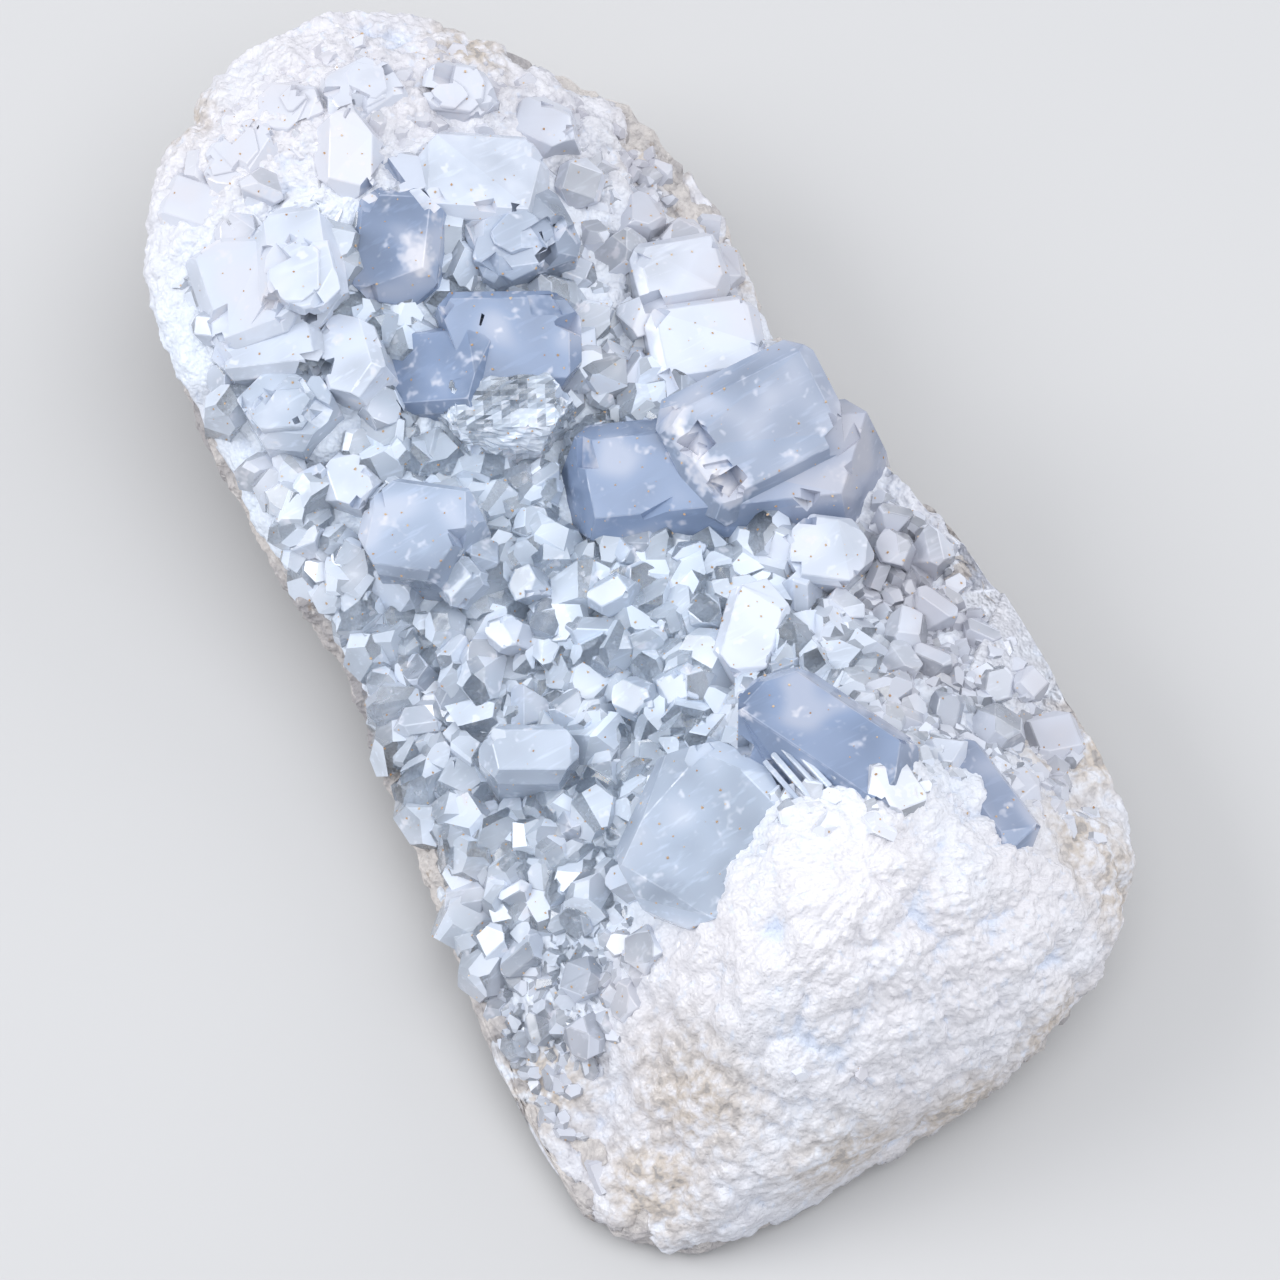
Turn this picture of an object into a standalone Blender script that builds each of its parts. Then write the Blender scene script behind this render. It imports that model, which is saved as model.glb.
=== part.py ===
"""A hand-sized cluster of celestite crystals on its rock matrix, in metres, +Z up.

The long axis lies along Y. The thick broken end is at -Y and the narrower end, whose rim overhangs, at +Y.
The origin is at the centre of the cluster's box, at the level of the flat spot that it rests on.
"""

import itertools
import math
import random
from dataclasses import dataclass

import bmesh
import bpy
import numpy as np
from mathutils import Matrix, Vector, noise

MM = 0.001

CLUSTER = "celestite_cluster"
HELPERS = "cutters"
ROCK_COLOR = (0.50, 0.46, 0.43, 1.0)
CELESTITE_COLOR = (0.56, 0.68, 0.84, 1.0)
# Corners closer than this merge, and faces that differ by less than this angle become one
MERGE_DISTANCE = 0.0002 * MM
FLAT_ANGLE = math.radians(0.5)
# Working out a crystal's corners: three planes meet in none below this determinant, corners this near are one
NEARLY_PARALLEL = 0.001
ROUNDING = 1e-9
CORNER_MERGE = 0.05 * MM

# The widest outline of the body, seen from above: x, y and the height of the widest line there, in mm
GIRDLE = (
    (-24.3, -60.3, 1.5), (-30.5, -53.5, 2.5), (-32.3, -44.0, 4.0), (-30.2, -30.0, 5.0), (-28.3, -17.0, 5.5),
    (-26.8, -4.5, 6.5), (-25.3, 7.0, 9.0), (-26.8, 19.5, 12.5), (-26.8, 30.0, 17.0), (-26.0, 40.5, 21.0),
    (-21.5, 51.0, 23.5), (-12.5, 58.5, 24.5), (-3.0, 62.3, 25.0), (5.0, 61.5, 25.0), (13.6, 56.0, 23.5),
    (22.0, 49.0, 20.0), (27.9, 39.0, 17.5), (29.0, 27.0, 16.5), (27.0, 13.0, 16.0), (29.8, -6.2, 17.0),
    (31.8, -20.0, 17.5), (32.4, -32.5, 16.5), (31.6, -43.0, 14.0), (28.4, -51.3, 11.0), (19.5, -58.3, 6.0),
    (8.7, -61.2, 3.5), (-4.0, -62.3, 2.0), (-14.5, -62.6, 1.5),
)
# The level that the crystals grow from: x, y and height of a few spots, in mm
ROOT_SPOTS = (
    (4.0, -48.0, 38.0), (14.0, -50.0, 34.0), (0.0, -39.0, 34.5), (9.0, -38.0, 33.0), (-9.0, -49.0, 34.0),
    (-20.5, -49.0, 14.0), (4.0, -24.0, 21.0), (23.0, -31.0, 18.5), (27.0, -43.0, 19.0), (-9.0, -30.0, 19.5),
    (-21.0, -34.0, 12.5), (-5.0, -9.0, 15.5), (-20.0, -5.0, 13.0), (16.0, -12.0, 18.0), (18.0, 2.0, 20.0),
    (-14.0, 9.0, 18.0), (0.0, 12.0, 18.0), (-2.0, 23.0, 20.5), (-20.0, 25.0, 21.5), (14.0, 22.0, 18.5),
    (-12.0, 37.0, 26.0), (6.0, 36.0, 24.0), (20.0, 34.0, 19.0), (-4.0, 48.0, 30.0), (10.0, 47.0, 26.0),
    (-21.0, -18.0, 12.0), (4.0, -58.0, 37.0), (-24.0, -57.0, 10.0),
)
# The level where the rock matrix ends and the celestite begins, in mm
SEAM_SPOTS = (
    (-22.0, -58.0, 5.0), (0.0, -60.0, 6.5), (20.0, -57.0, 9.5), (31.0, -42.0, 13.5), (30.0, -20.0, 16.0),
    (27.0, 8.0, 15.5), (28.0, 30.0, 17.0), (14.0, 53.0, 22.0), (-3.0, 60.0, 23.0), (-20.0, 49.0, 21.0),
    (-26.0, 28.0, 16.0), (-24.0, 8.0, 11.0), (-27.0, -18.0, 8.0), (-30.0, -42.0, 6.5), (0.0, -30.0, 9.0),
    (0.0, 0.0, 9.5), (0.0, 30.0, 13.0),
)
RELIEF_SOFTNESS = 9.0 * MM
AROUND = 56
LOWER_RINGS = (0.0, 0.34, 0.58, 0.76, 0.88, 0.95, 0.985)
UPPER_RINGS = (1.0, 0.965, 0.90, 0.81, 0.69, 0.56, 0.42, 0.27, 0.0)
# How square the profile is below the girdle and above it
LOWER_SQUARENESS = 2.4
UPPER_SQUARENESS = 3.0
# How far the profile would reach below the ground without the flat spot
FLAT_SPOT_DEPTH = 1.0 * MM
LUMP_HEIGHT = 0.9 * MM
LUMP_SIZE = 9.0 * MM
PEBBLE_HEIGHT = 0.6 * MM
PEBBLE_SIZE = 3.6 * MM

# Two solids that meet keep this gap
GAP = 0.3 * MM
SEAM_CELL = 8.0 * MM
SEAM_MARGIN = 6.0 * MM
SEAM_RIPPLE = 1.2 * MM

# Angles between the faces of a celestite crystal: from its length to a prism face's normal, and from its flat
# face's normal to those of the two kinds of bevel, at the ends and along the sides
PRISM_ANGLE = math.radians(37.9)
END_BEVEL_ANGLE = math.radians(39.4)
SIDE_BEVEL_ANGLE = math.radians(52.0)


@dataclass(frozen=True)
class Crystal:
    """One flat, blocky crystal, given by the face that shows: where its middle is and how it lies.

    place is the middle of the face in mm. length, width and depth are in mm. heading is the direction of the
    length seen from above, climb how the face rises along it and tilt how it rises to the left of it, in
    degrees. point is the share of the length that its two pointed ends take. side_bevel and end_bevel are the
    shares of the width that the bevels along the sides and at the ends take, and at 0 there are none.
    """

    place: tuple[float, float, float]
    length: float
    width: float
    depth: float
    heading: float
    climb: float = 0.0
    tilt: float = 0.0
    point: float = 0.35
    side_bevel: float = 0.25
    end_bevel: float = 0.25


LARGE_CRYSTALS = {
    "great_block": Crystal((19.4, -1.6, 26.5), 20.5, 14.5, 15.0, -12.0, 7.0, 12.0, 0.42, 0.15),
    "second_block": Crystal((2.5, 3.5, 23.5), 20.0, 10.5, 13.0, -25.0, 3.0, 16.0, 0.15, 0.15),
    "steel_block": Crystal((1.5, 21.5, 25.5), 15.0, 10.0, 12.0, -27.0, -2.0, 17.0, 0.30, 0.20),
    "steel_flank": Crystal((-5.5, 22.5, 24.5), 12.0, 9.0, 11.0, -35.0, 18.0, 8.0, 0.40, 0.20),
    "broken_chip": Crystal((-1.5, 15.0, 23.5), 11.5, 6.0, 8.0, -29.0, 0.0, 8.0, 0.50, 0.40),
    "pale_wedge": Crystal((-13.0, 27.0, 26.5), 12.0, 6.5, 10.0, 76.0, -4.0, -18.0, 0.60, 0.30),
    "stepped_right": Crystal((-13.0, 36.5, 30.5), 12.0, 9.0, 11.0, 70.0, 5.0, 0.0, 0.45, 0.40),
    "stepped_left": Crystal((-18.5, 38.0, 28.5), 12.5, 10.0, 11.0, 80.0, 8.0, -12.0, 0.30, 0.30),
    "dark_top": Crystal((-3.7, 34.8, 28.5), 11.5, 9.0, 11.0, 55.0, 16.0, -9.0, 0.35, 0.25),
    "pale_plate": Crystal((8.0, 37.5, 28.5), 13.5, 9.5, 8.0, -27.0, -10.0, 5.0, 0.40, 0.20),
    "square": Crystal((8.5, 31.0, 26.5), 10.5, 8.5, 10.0, -5.0, 0.0, 9.0, 0.20, 0.30),
    "lozenge": Crystal((-20.0, 25.5, 25.0), 12.0, 8.5, 9.0, -35.0, 2.0, 9.0, 0.70, 0.30),
    "pale_left": Crystal((-19.0, 31.5, 26.5), 12.5, 6.0, 8.0, -25.0, 6.0, 5.0, 0.40, 0.30),
    "clear_tip": Crystal((-18.0, 17.0, 22.0), 9.5, 6.0, 8.0, 80.0, 8.0, -6.0, 0.80, 0.40),
    "smooth": Crystal((-14.5, 8.5, 22.5), 12.5, 10.0, 10.0, -40.0, 4.0, 7.0, 0.45, 0.15),
    "twin": Crystal((-16.0, -15.5, 19.0), 9.5, 6.0, 8.0, -29.0, 0.0, 6.0, 0.40, 0.35),
    "hex_plate": Crystal((18.5, -12.0, 22.0), 9.0, 7.0, 7.0, -35.0, -4.0, 8.0, 0.55, 0.15),
    "pale_upright": Crystal((8.0, -16.0, 22.5), 12.0, 6.0, 9.0, 45.0, 9.0, 8.0, 0.50, 0.25),
    "great_pale": Crystal((-8.0, -34.0, 28.0), 17.0, 14.5, 14.0, 35.0, 17.0, -6.0, 0.45, 0.25),
    "ridge": Crystal((6.2, -32.5, 33.0), 18.5, 11.5, 16.0, -68.0, 5.0, 2.0, 0.35, 0.45),
    "striated": Crystal((1.0, -35.3, 31.5), 8.0, 3.4, 8.0, -85.0, 6.0, 27.0, 0.20, 0.20),
    "long_side": Crystal((17.8, -42.8, 25.0), 12.0, 4.0, 6.0, -88.0, 6.0, -12.0, 0.25, 0.30),
    "rim_block": Crystal((19.8, 13.8, 22.0), 11.5, 9.5, 8.0, -18.0, -3.0, 6.0, 0.30, 0.25),
    "rim_upper": Crystal((21.5, 22.0, 22.0), 9.5, 8.0, 7.0, -15.0, -4.0, 6.0, 0.30, 0.30),
    "left_knob": Crystal((-17.8, 48.3, 27.5), 8.5, 7.5, 8.0, -50.0, 2.0, 9.0, 0.35, 0.45),
    "left_bead": Crystal((-22.0, 45.6, 25.0), 6.0, 5.5, 6.0, -30.0, 10.0, 6.0, 0.40, 0.50),
    "mirror_a": Crystal((-5.0, -15.5, 19.8), 7.0, 5.5, 7.0, -60.0, -4.0, -5.0, 0.50, 0.25),
    "mirror_b": Crystal((-1.5, -18.0, 20.2), 5.5, 5.0, 6.0, -30.0, -5.0, 3.0, 0.50, 0.20),
    "mirror_c": Crystal((-1.5, -5.0, 20.2), 6.5, 5.0, 7.0, -20.0, -6.0, 2.0, 0.45, 0.20),
    "mirror_d": Crystal((-8.0, -0.5, 19.8), 5.5, 4.0, 6.0, 60.0, -4.0, 5.0, 0.55, 0.25),
    "mirror_e": Crystal((-12.3, -3.2, 18.8), 4.5, 3.5, 5.0, -70.0, -3.0, -5.0, 0.50, 0.20),
}

# The smaller crystals fill the rest, in rows of this spacing and out to this share of the girdle's reach
SMALL_LENGTH = 7.2
SMALL_WIDTH = 5.2
SMALL_DEPTH = 6.0
SMALL_SIZES = (0.75, 1.25)
SMALL_HEIGHTS = (0.8, 2.4)
SMALL_POINTS = (0.58, 0.9)
# Bevels along the sides and at the ends
SMALL_BEVELS = ((0.35, 0.0), (0.0, 0.5), (0.0, 0.0))
FILL_SPACING = 5.2 * MM
FILL_JITTER = 0.34
FILL_REACH = 0.93
FILL_SEED = 20
FILL_LEAN = 28.0
# Small crystals keep this share of their length clear of a large crystal's middle
LARGE_CLEARANCE = 0.42
# Small crystals follow the ground they grow from up to this slope
STEEPEST_SLOPE = 0.7
# The white sugary end, past this y and right of this x, has fewer, broader and lower ones
SUGARY_Y = -37.0 * MM
SUGARY_X = -13.0 * MM
SUGARY_SIZE = 1.35
SUGARY_HEIGHT = 0.4


def spot_relief(spots):
    """Returns a smooth height over x and y through the given spots."""
    points = np.array(spots) * MM
    apart = np.linalg.norm(points[:, None, :2] - points[None, :, :2], axis=2)
    kernel = np.sqrt(apart**2 + RELIEF_SOFTNESS**2)
    mean = points[:, 2].mean()
    weights = np.linalg.solve(kernel, points[:, 2] - mean)

    def height(x, y):
        away = np.hypot(points[:, 0] - x, points[:, 1] - y)
        return mean + float(np.sqrt(away**2 + RELIEF_SOFTNESS**2) @ weights)

    return height


root_height = spot_relief(ROOT_SPOTS)
seam_height = spot_relief(SEAM_SPOTS)


def girdle_at(angle):
    """Returns the reach from the middle and the height of the widest line in this direction."""
    points = np.array(GIRDLE) * MM
    angles = np.arctan2(points[:, 1], points[:, 0])
    order = np.argsort(angles)
    turns = np.concatenate([angles[order] - 2 * math.pi, angles[order], angles[order] + 2 * math.pi])
    values = np.tile(np.stack([np.hypot(points[:, 0], points[:, 1]), points[:, 2]], 1)[order], (3, 1))
    at = int(np.searchsorted(turns, angle)) - 1
    span = turns[at + 1] - turns[at]
    t = (angle - turns[at]) / span
    before = (values[at + 1] - values[at - 1]) / (turns[at + 1] - turns[at - 1]) * span
    after = (values[at + 2] - values[at]) / (turns[at + 2] - turns[at]) * span
    return (
        values[at] * (2 * t**3 - 3 * t**2 + 1)
        + before * (t**3 - 2 * t**2 + t)
        + values[at + 1] * (3 * t**2 - 2 * t**3)
        + after * (t**3 - t**2)
    )


def dome(share, squareness):
    """Returns how high a profile stands at this share of its reach, from 1 in the middle to 0 at the rim."""
    return max(0.0, 1.0 - share**squareness) ** (1.0 / squareness)


def body_point(angle, share, upper):
    """Returns a point of the body's surface, on its upper or its lower side."""
    reach, rim = girdle_at(angle)
    x, y = share * reach * math.cos(angle), share * reach * math.sin(angle)
    if upper:
        z = rim + (root_height(x, y) - rim) * dome(share, UPPER_SQUARENESS)
    else:
        z = rim - (rim + FLAT_SPOT_DEPTH) * dome(share, LOWER_SQUARENESS)
    return Vector((x, y, z))


def top_at(x, y):
    """Returns the body's top point over this place and its share of the reach there."""
    angle = math.atan2(y, x)
    share = math.hypot(x, y) / girdle_at(angle)[0]
    return body_point(angle, min(share, 1.0), upper=True), share


def slope_at(x, y):
    """Returns how steeply the body's top rises along x and along y over this place."""
    step = 2.0 * MM
    east = top_at(x + step, y)[0].z - top_at(x - step, y)[0].z
    north = top_at(x, y + step)[0].z - top_at(x, y - step)[0].z
    rise = Vector((east, north)) / (2 * step)
    return rise * min(1.0, STEEPEST_SLOPE / max(rise.length, 0.001))


def roughened(point, outward):
    """Returns the point moved out or in by the rock's lumps and pebbles, but never below the flat spot."""
    lumps = LUMP_HEIGHT * noise.noise(point / LUMP_SIZE) + PEBBLE_HEIGHT * noise.noise(point / PEBBLE_SIZE)
    moved = point + outward * lumps
    moved.z = max(0.0, moved.z)
    return moved


def build_body(name):
    """Builds the whole closed body, without crystals, as rings from the flat spot up to the top."""
    mesh = bmesh.new()
    levels = [(share, False) for share in LOWER_RINGS] + [(share, True) for share in UPPER_RINGS]
    rings = []
    for share, upper in levels:
        count = 1 if share == 0.0 else AROUND
        ring = []
        for step in range(count):
            angle = 2 * math.pi * step / AROUND - math.pi
            point = body_point(angle, share, upper)
            outward = Vector((math.cos(angle) * share, math.sin(angle) * share, 1.0 - share if upper else 0.0))
            ring.append(mesh.verts.new(roughened(point, outward)))
        rings.append(ring)
    for low, high in itertools.pairwise(rings):
        for step in range(AROUND):
            pair = (step, step + 1)
            corners = [low[at % len(low)] for at in pair] + [high[at % len(high)] for at in reversed(pair)]
            mesh.faces.new(dict.fromkeys(corners))
    bmesh.ops.triangulate(mesh, faces=mesh.faces)
    bmesh.ops.recalc_face_normals(mesh, faces=mesh.faces)
    return as_object(name, mesh)


def build_below_seam(name, raised):
    """Builds the closed block of everything below the seam between matrix and celestite, as a cutter."""
    mesh = bmesh.new()
    reach_x = max(abs(point[0]) for point in GIRDLE) * MM + SEAM_MARGIN
    reach_y = max(abs(point[1]) for point in GIRDLE) * MM + SEAM_MARGIN
    bmesh.ops.create_grid(
        mesh,
        x_segments=round(2 * reach_x / SEAM_CELL),
        y_segments=round(2 * reach_y / SEAM_CELL),
        size=1.0,
        matrix=Matrix.Diagonal((reach_x, reach_y, 1.0, 1.0)),
    )
    top = list(mesh.verts)
    extruded = bmesh.ops.extrude_face_region(mesh, geom=mesh.faces[:])["geom"]
    for vert in extruded:
        if isinstance(vert, bmesh.types.BMVert):
            vert.co.z = -SEAM_MARGIN
    for vert in top:
        ripple = SEAM_RIPPLE * noise.noise(vert.co / LUMP_SIZE)
        vert.co.z = seam_height(vert.co.x, vert.co.y) + ripple + raised
    bmesh.ops.recalc_face_normals(mesh, faces=mesh.faces)
    return as_object(name, mesh)


def crystal_planes(crystal):
    """Returns the planes of a crystal as rows of a normal and a distance, about the middle of its top face."""
    length, width, depth = crystal.length * MM, crystal.width * MM, crystal.depth * MM
    planes = [(Vector((0, 0, 1)), 0.0), (Vector((0, 0, -1)), depth)]
    for side in (-1, 1):
        planes.append((Vector((0, side, 0)), width / 2))
        planes.append((Vector((side, 0, 0)), length / 2))
        if crystal.side_bevel > 0:
            slope = Vector((0, side * math.sin(SIDE_BEVEL_ANGLE), math.cos(SIDE_BEVEL_ANGLE)))
            planes.append((slope, slope.y * side * (width / 2 - crystal.side_bevel * width / 2)))
        if crystal.end_bevel > 0:
            slope = Vector((side * math.sin(END_BEVEL_ANGLE), 0, math.cos(END_BEVEL_ANGLE)))
            planes.append((slope, slope.x * side * (length / 2 - crystal.end_bevel * width / 2)))
        for other in (-1, 1):
            prism = Vector((side * math.cos(PRISM_ANGLE), other * math.sin(PRISM_ANGLE), 0))
            through = Vector((side * length / 2 * (1 - crystal.point), other * width / 2, 0))
            planes.append((prism, prism.dot(through)))
    return planes


def add_polytope(mesh, planes, placed):
    """Adds the convex solid inside these planes to the mesh, moved by the matrix."""
    normals = np.array([normal for normal, _ in planes])
    distances = np.array([distance for _, distance in planes])
    corners = []
    for trio in itertools.combinations(range(len(planes)), 3):
        facing = normals[list(trio)]
        if abs(np.linalg.det(facing)) < NEARLY_PARALLEL:
            continue
        corner = np.linalg.solve(facing, distances[list(trio)])
        if (normals @ corner <= distances + ROUNDING).all():
            corners.append(corner)
    verts = [mesh.verts.new(placed @ Vector(corner)) for corner in corners]
    bmesh.ops.remove_doubles(mesh, verts=verts, dist=CORNER_MERGE)
    verts = [vert for vert in verts if vert.is_valid]
    hull = bmesh.ops.convex_hull(mesh, input=verts)
    spare = hull["geom_interior"] + hull["geom_unused"]
    bmesh.ops.delete(mesh, geom=[item for item in spare if isinstance(item, bmesh.types.BMVert)], context="VERTS")


def placement(crystal):
    """Returns the matrix that puts a crystal's top face where it belongs."""
    heading, climb = math.radians(crystal.heading), math.radians(crystal.climb)
    along = Vector((math.cos(heading) * math.cos(climb), math.sin(heading) * math.cos(climb), math.sin(climb)))
    left = Vector((-math.sin(heading), math.cos(heading), 0.0))
    frame = Matrix((along, left, along.cross(left))).transposed().to_4x4()
    tilted = frame @ Matrix.Rotation(math.radians(crystal.tilt), 4, "X")
    return Matrix.Translation(Vector(crystal.place) * MM) @ tilted


def stands_clear(x, y):
    """Tells whether this place is clear of every large crystal's middle."""
    for crystal in LARGE_CRYSTALS.values():
        away = Vector((x - crystal.place[0] * MM, y - crystal.place[1] * MM))
        heading = math.radians(crystal.heading)
        along = away.dot(Vector((math.cos(heading), math.sin(heading))))
        across = away.dot(Vector((-math.sin(heading), math.cos(heading))))
        reach = LARGE_CLEARANCE * MM
        if math.hypot(along / (reach * crystal.length), across / (reach * crystal.width)) < 1.0:
            return False
    return True


def small_crystals():
    """Returns the smaller crystals, scattered over the body's top, sparse and low where it is sugary."""
    rng = random.Random(FILL_SEED)
    rows = round(max(abs(point[1]) for point in GIRDLE) * MM / FILL_SPACING)
    columns = round(max(abs(point[0]) for point in GIRDLE) * MM / FILL_SPACING)
    found = []
    for row, column in itertools.product(range(-rows, rows + 1), range(-columns, columns + 1)):
        x = (column + 0.5 * (row % 2) + rng.uniform(-FILL_JITTER, FILL_JITTER)) * FILL_SPACING
        y = (row + rng.uniform(-FILL_JITTER, FILL_JITTER)) * FILL_SPACING
        size, out = rng.uniform(*SMALL_SIZES), rng.uniform(*SMALL_HEIGHTS)
        heading, lean, toward = rng.uniform(0, 180), rng.uniform(0, FILL_LEAN), rng.uniform(0, 2 * math.pi)
        point, bevels = rng.uniform(*SMALL_POINTS), rng.choice(SMALL_BEVELS)
        top, share = top_at(x, y)
        sugary = y < SUGARY_Y and x > SUGARY_X
        if share > FILL_REACH or not stands_clear(x, y) or (sugary and (row + column) % 2):
            continue
        if sugary:
            size, out = size * SUGARY_SIZE, out * SUGARY_HEIGHT
        slope = slope_at(x, y)
        along = Vector((math.cos(math.radians(heading)), math.sin(math.radians(heading))))
        found.append(
            Crystal(
                place=(top.x / MM, top.y / MM, top.z / MM + out),
                length=SMALL_LENGTH * size,
                width=SMALL_WIDTH * size,
                depth=SMALL_DEPTH * size,
                heading=heading,
                climb=math.degrees(math.atan(slope.dot(along))) + lean * math.cos(toward),
                tilt=math.degrees(math.atan(along.cross(slope))) + lean * math.sin(toward),
                point=point,
                side_bevel=bevels[0],
                end_bevel=bevels[1],
            )
        )
    return found


def build_crystals(name):
    """Builds all crystals as one mesh, for the union with the body."""
    mesh = bmesh.new()
    for crystal in list(LARGE_CRYSTALS.values()) + small_crystals():
        add_polytope(mesh, crystal_planes(crystal), placement(crystal))
    return as_object(name, mesh)


def as_object(name, mesh):
    """Returns a new object with this mesh's shape, in the collection of cutters and helpers."""
    data = bpy.data.meshes.new(name)
    mesh.to_mesh(data)
    mesh.free()
    made = bpy.data.objects.new(name, data)
    made.hide_render = True
    made.display_type = "WIRE"
    bpy.data.collections[HELPERS].objects.link(made)
    return made


def combined(name, base, steps):
    """Returns the mesh of base after Booleans, each step an operation and the other object."""
    made = bpy.data.objects.new(name, base.data)
    bpy.data.collections[HELPERS].objects.link(made)
    for operation, other in steps:
        boolean = made.modifiers.new(operation.title(), "BOOLEAN")
        boolean.operation = operation
        boolean.object = other
        boolean.solver = "EXACT"
        boolean.use_self = operation == "UNION"
    evaluated = made.evaluated_get(bpy.context.evaluated_depsgraph_get())
    mesh = bmesh.new()
    mesh.from_mesh(evaluated.to_mesh())
    bpy.data.objects.remove(made)
    return mesh


def keep_largest_body(mesh):
    """Deletes every closed shell but the largest, such as a pocket sealed in between crystals."""
    waiting, shells = set(mesh.verts), []
    while waiting:
        shell, edge = set(), {waiting.pop()}
        while edge:
            shell |= edge
            edge = {link.other_vert(vert) for vert in edge for link in vert.link_edges} - shell
        waiting -= shell
        shells.append(shell)
    shells.sort(key=len)
    bmesh.ops.delete(mesh, geom=[vert for shell in shells[:-1] for vert in shell], context="VERTS")


def cleaned(mesh):
    """Merges slivers and near-flat faces of the mesh, and cuts it into triangles."""
    bmesh.ops.remove_doubles(mesh, verts=mesh.verts, dist=MERGE_DISTANCE)
    bmesh.ops.dissolve_degenerate(mesh, edges=mesh.edges, dist=MERGE_DISTANCE)
    keep_largest_body(mesh)
    bmesh.ops.dissolve_limit(mesh, angle_limit=FLAT_ANGLE, verts=mesh.verts, edges=mesh.edges)
    bmesh.ops.triangulate(mesh, faces=mesh.faces)
    return mesh


def add_part(name, mesh, material):
    """Adds a finished solid to the cluster's collection."""
    data = bpy.data.meshes.new(name)
    mesh.to_mesh(data)
    mesh.free()
    data.materials.append(material)
    part = bpy.data.objects.new(name, data)
    bpy.data.collections[CLUSTER].objects.link(part)


def plain_material(name, color, roughness):
    """Returns a non-metallic Principled material of this colour and roughness."""
    material = bpy.data.materials.new(name)
    material.use_nodes = True
    shader = material.node_tree.nodes["Principled BSDF"]
    shader.inputs["Base Color"].default_value = color
    shader.inputs["Roughness"].default_value = roughness
    shader.inputs["Metallic"].default_value = 0.0
    return material


def main():
    for old in list(bpy.data.objects):
        bpy.data.objects.remove(old)
    for name in (CLUSTER, HELPERS):
        bpy.context.scene.collection.children.link(bpy.data.collections.new(name))
    body = build_body("body")
    crystals = build_crystals("crystals")
    matrix_block = build_below_seam("matrix_block", 0.0)
    druse_cutter = build_below_seam("druse_cutter", GAP)
    matrix = combined("matrix", body, [("INTERSECT", matrix_block)])
    druse = combined("druse", body, [("UNION", crystals), ("DIFFERENCE", druse_cutter)])
    add_part("rock_matrix", cleaned(matrix), plain_material("matrix_rock", ROCK_COLOR, 0.9))
    add_part("celestite_crystals", cleaned(druse), plain_material("celestite", CELESTITE_COLOR, 0.15))


main()
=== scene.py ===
"""The looks of a celestite cluster: clear and hazy blue crystals, white sugary crust and rock matrix.

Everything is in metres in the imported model's frame, +Z up, with the long axis along Y. The widest outline of
the body, the level that the crystals grow from and the large crystals stand where the solids have them. The
tables of places and sizes are in millimetres, and each crystal is given by the face that shows.
"""

import itertools
import logging
import math
import random
from collections.abc import Iterable, Mapping, Sequence
from dataclasses import dataclass
from enum import Enum

import bmesh
import bpy
import numpy as np
from mathutils import Matrix, Vector, noise


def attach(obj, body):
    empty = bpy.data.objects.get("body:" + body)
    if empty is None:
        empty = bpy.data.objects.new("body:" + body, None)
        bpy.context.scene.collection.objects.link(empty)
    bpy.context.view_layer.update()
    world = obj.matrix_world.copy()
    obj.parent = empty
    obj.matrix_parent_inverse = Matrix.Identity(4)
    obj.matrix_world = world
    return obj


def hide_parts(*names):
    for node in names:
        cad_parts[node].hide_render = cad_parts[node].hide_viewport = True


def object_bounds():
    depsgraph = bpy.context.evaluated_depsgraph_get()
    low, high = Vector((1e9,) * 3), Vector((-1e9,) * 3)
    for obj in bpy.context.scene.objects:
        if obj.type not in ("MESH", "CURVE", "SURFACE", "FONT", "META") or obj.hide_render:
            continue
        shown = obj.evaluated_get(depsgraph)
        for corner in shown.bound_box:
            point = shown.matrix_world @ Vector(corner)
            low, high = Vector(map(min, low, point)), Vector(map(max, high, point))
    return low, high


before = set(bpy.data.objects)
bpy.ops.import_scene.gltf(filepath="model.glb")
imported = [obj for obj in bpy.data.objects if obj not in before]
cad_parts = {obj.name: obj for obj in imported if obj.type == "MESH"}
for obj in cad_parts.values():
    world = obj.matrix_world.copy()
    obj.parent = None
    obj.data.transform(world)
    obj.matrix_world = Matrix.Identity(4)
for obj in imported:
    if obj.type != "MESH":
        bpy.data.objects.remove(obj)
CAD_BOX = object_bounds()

MM = 0.001
BODY = "root"
ROCK_NODE = "rock_matrix"
DRUSE_NODE = "celestite_crystals"
BOX_MARGIN = 0.02 * MM
Triple = tuple[float, float, float]
log = logging.getLogger("celestite")

# The widest outline of the body, seen from above: x, y and the height of the widest line there, in mm
GIRDLE = (
    (-24.3, -60.3, 1.5), (-30.5, -53.5, 2.5), (-32.3, -44, 4), (-30.2, -30, 5), (-28.3, -17, 5.5), (-26.8, -4.5, 6.5),
    (-25.3, 7, 9), (-26.8, 19.5, 12.5), (-26.8, 30, 17), (-26, 40.5, 21), (-21.5, 51, 23.5), (-12.5, 58.5, 24.5),
    (-3, 62.3, 25), (5, 61.5, 25), (13.6, 56, 23.5), (22, 49, 20), (27.9, 39, 17.5), (29, 27, 16.5), (27, 13, 16),
    (29.8, -6.2, 17), (31.8, -20, 17.5), (32.4, -32.5, 16.5), (31.6, -43, 14), (28.4, -51.3, 11), (19.5, -58.3, 6),
    (8.7, -61.2, 3.5), (-4, -62.3, 2), (-14.5, -62.6, 1.5),
)
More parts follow.
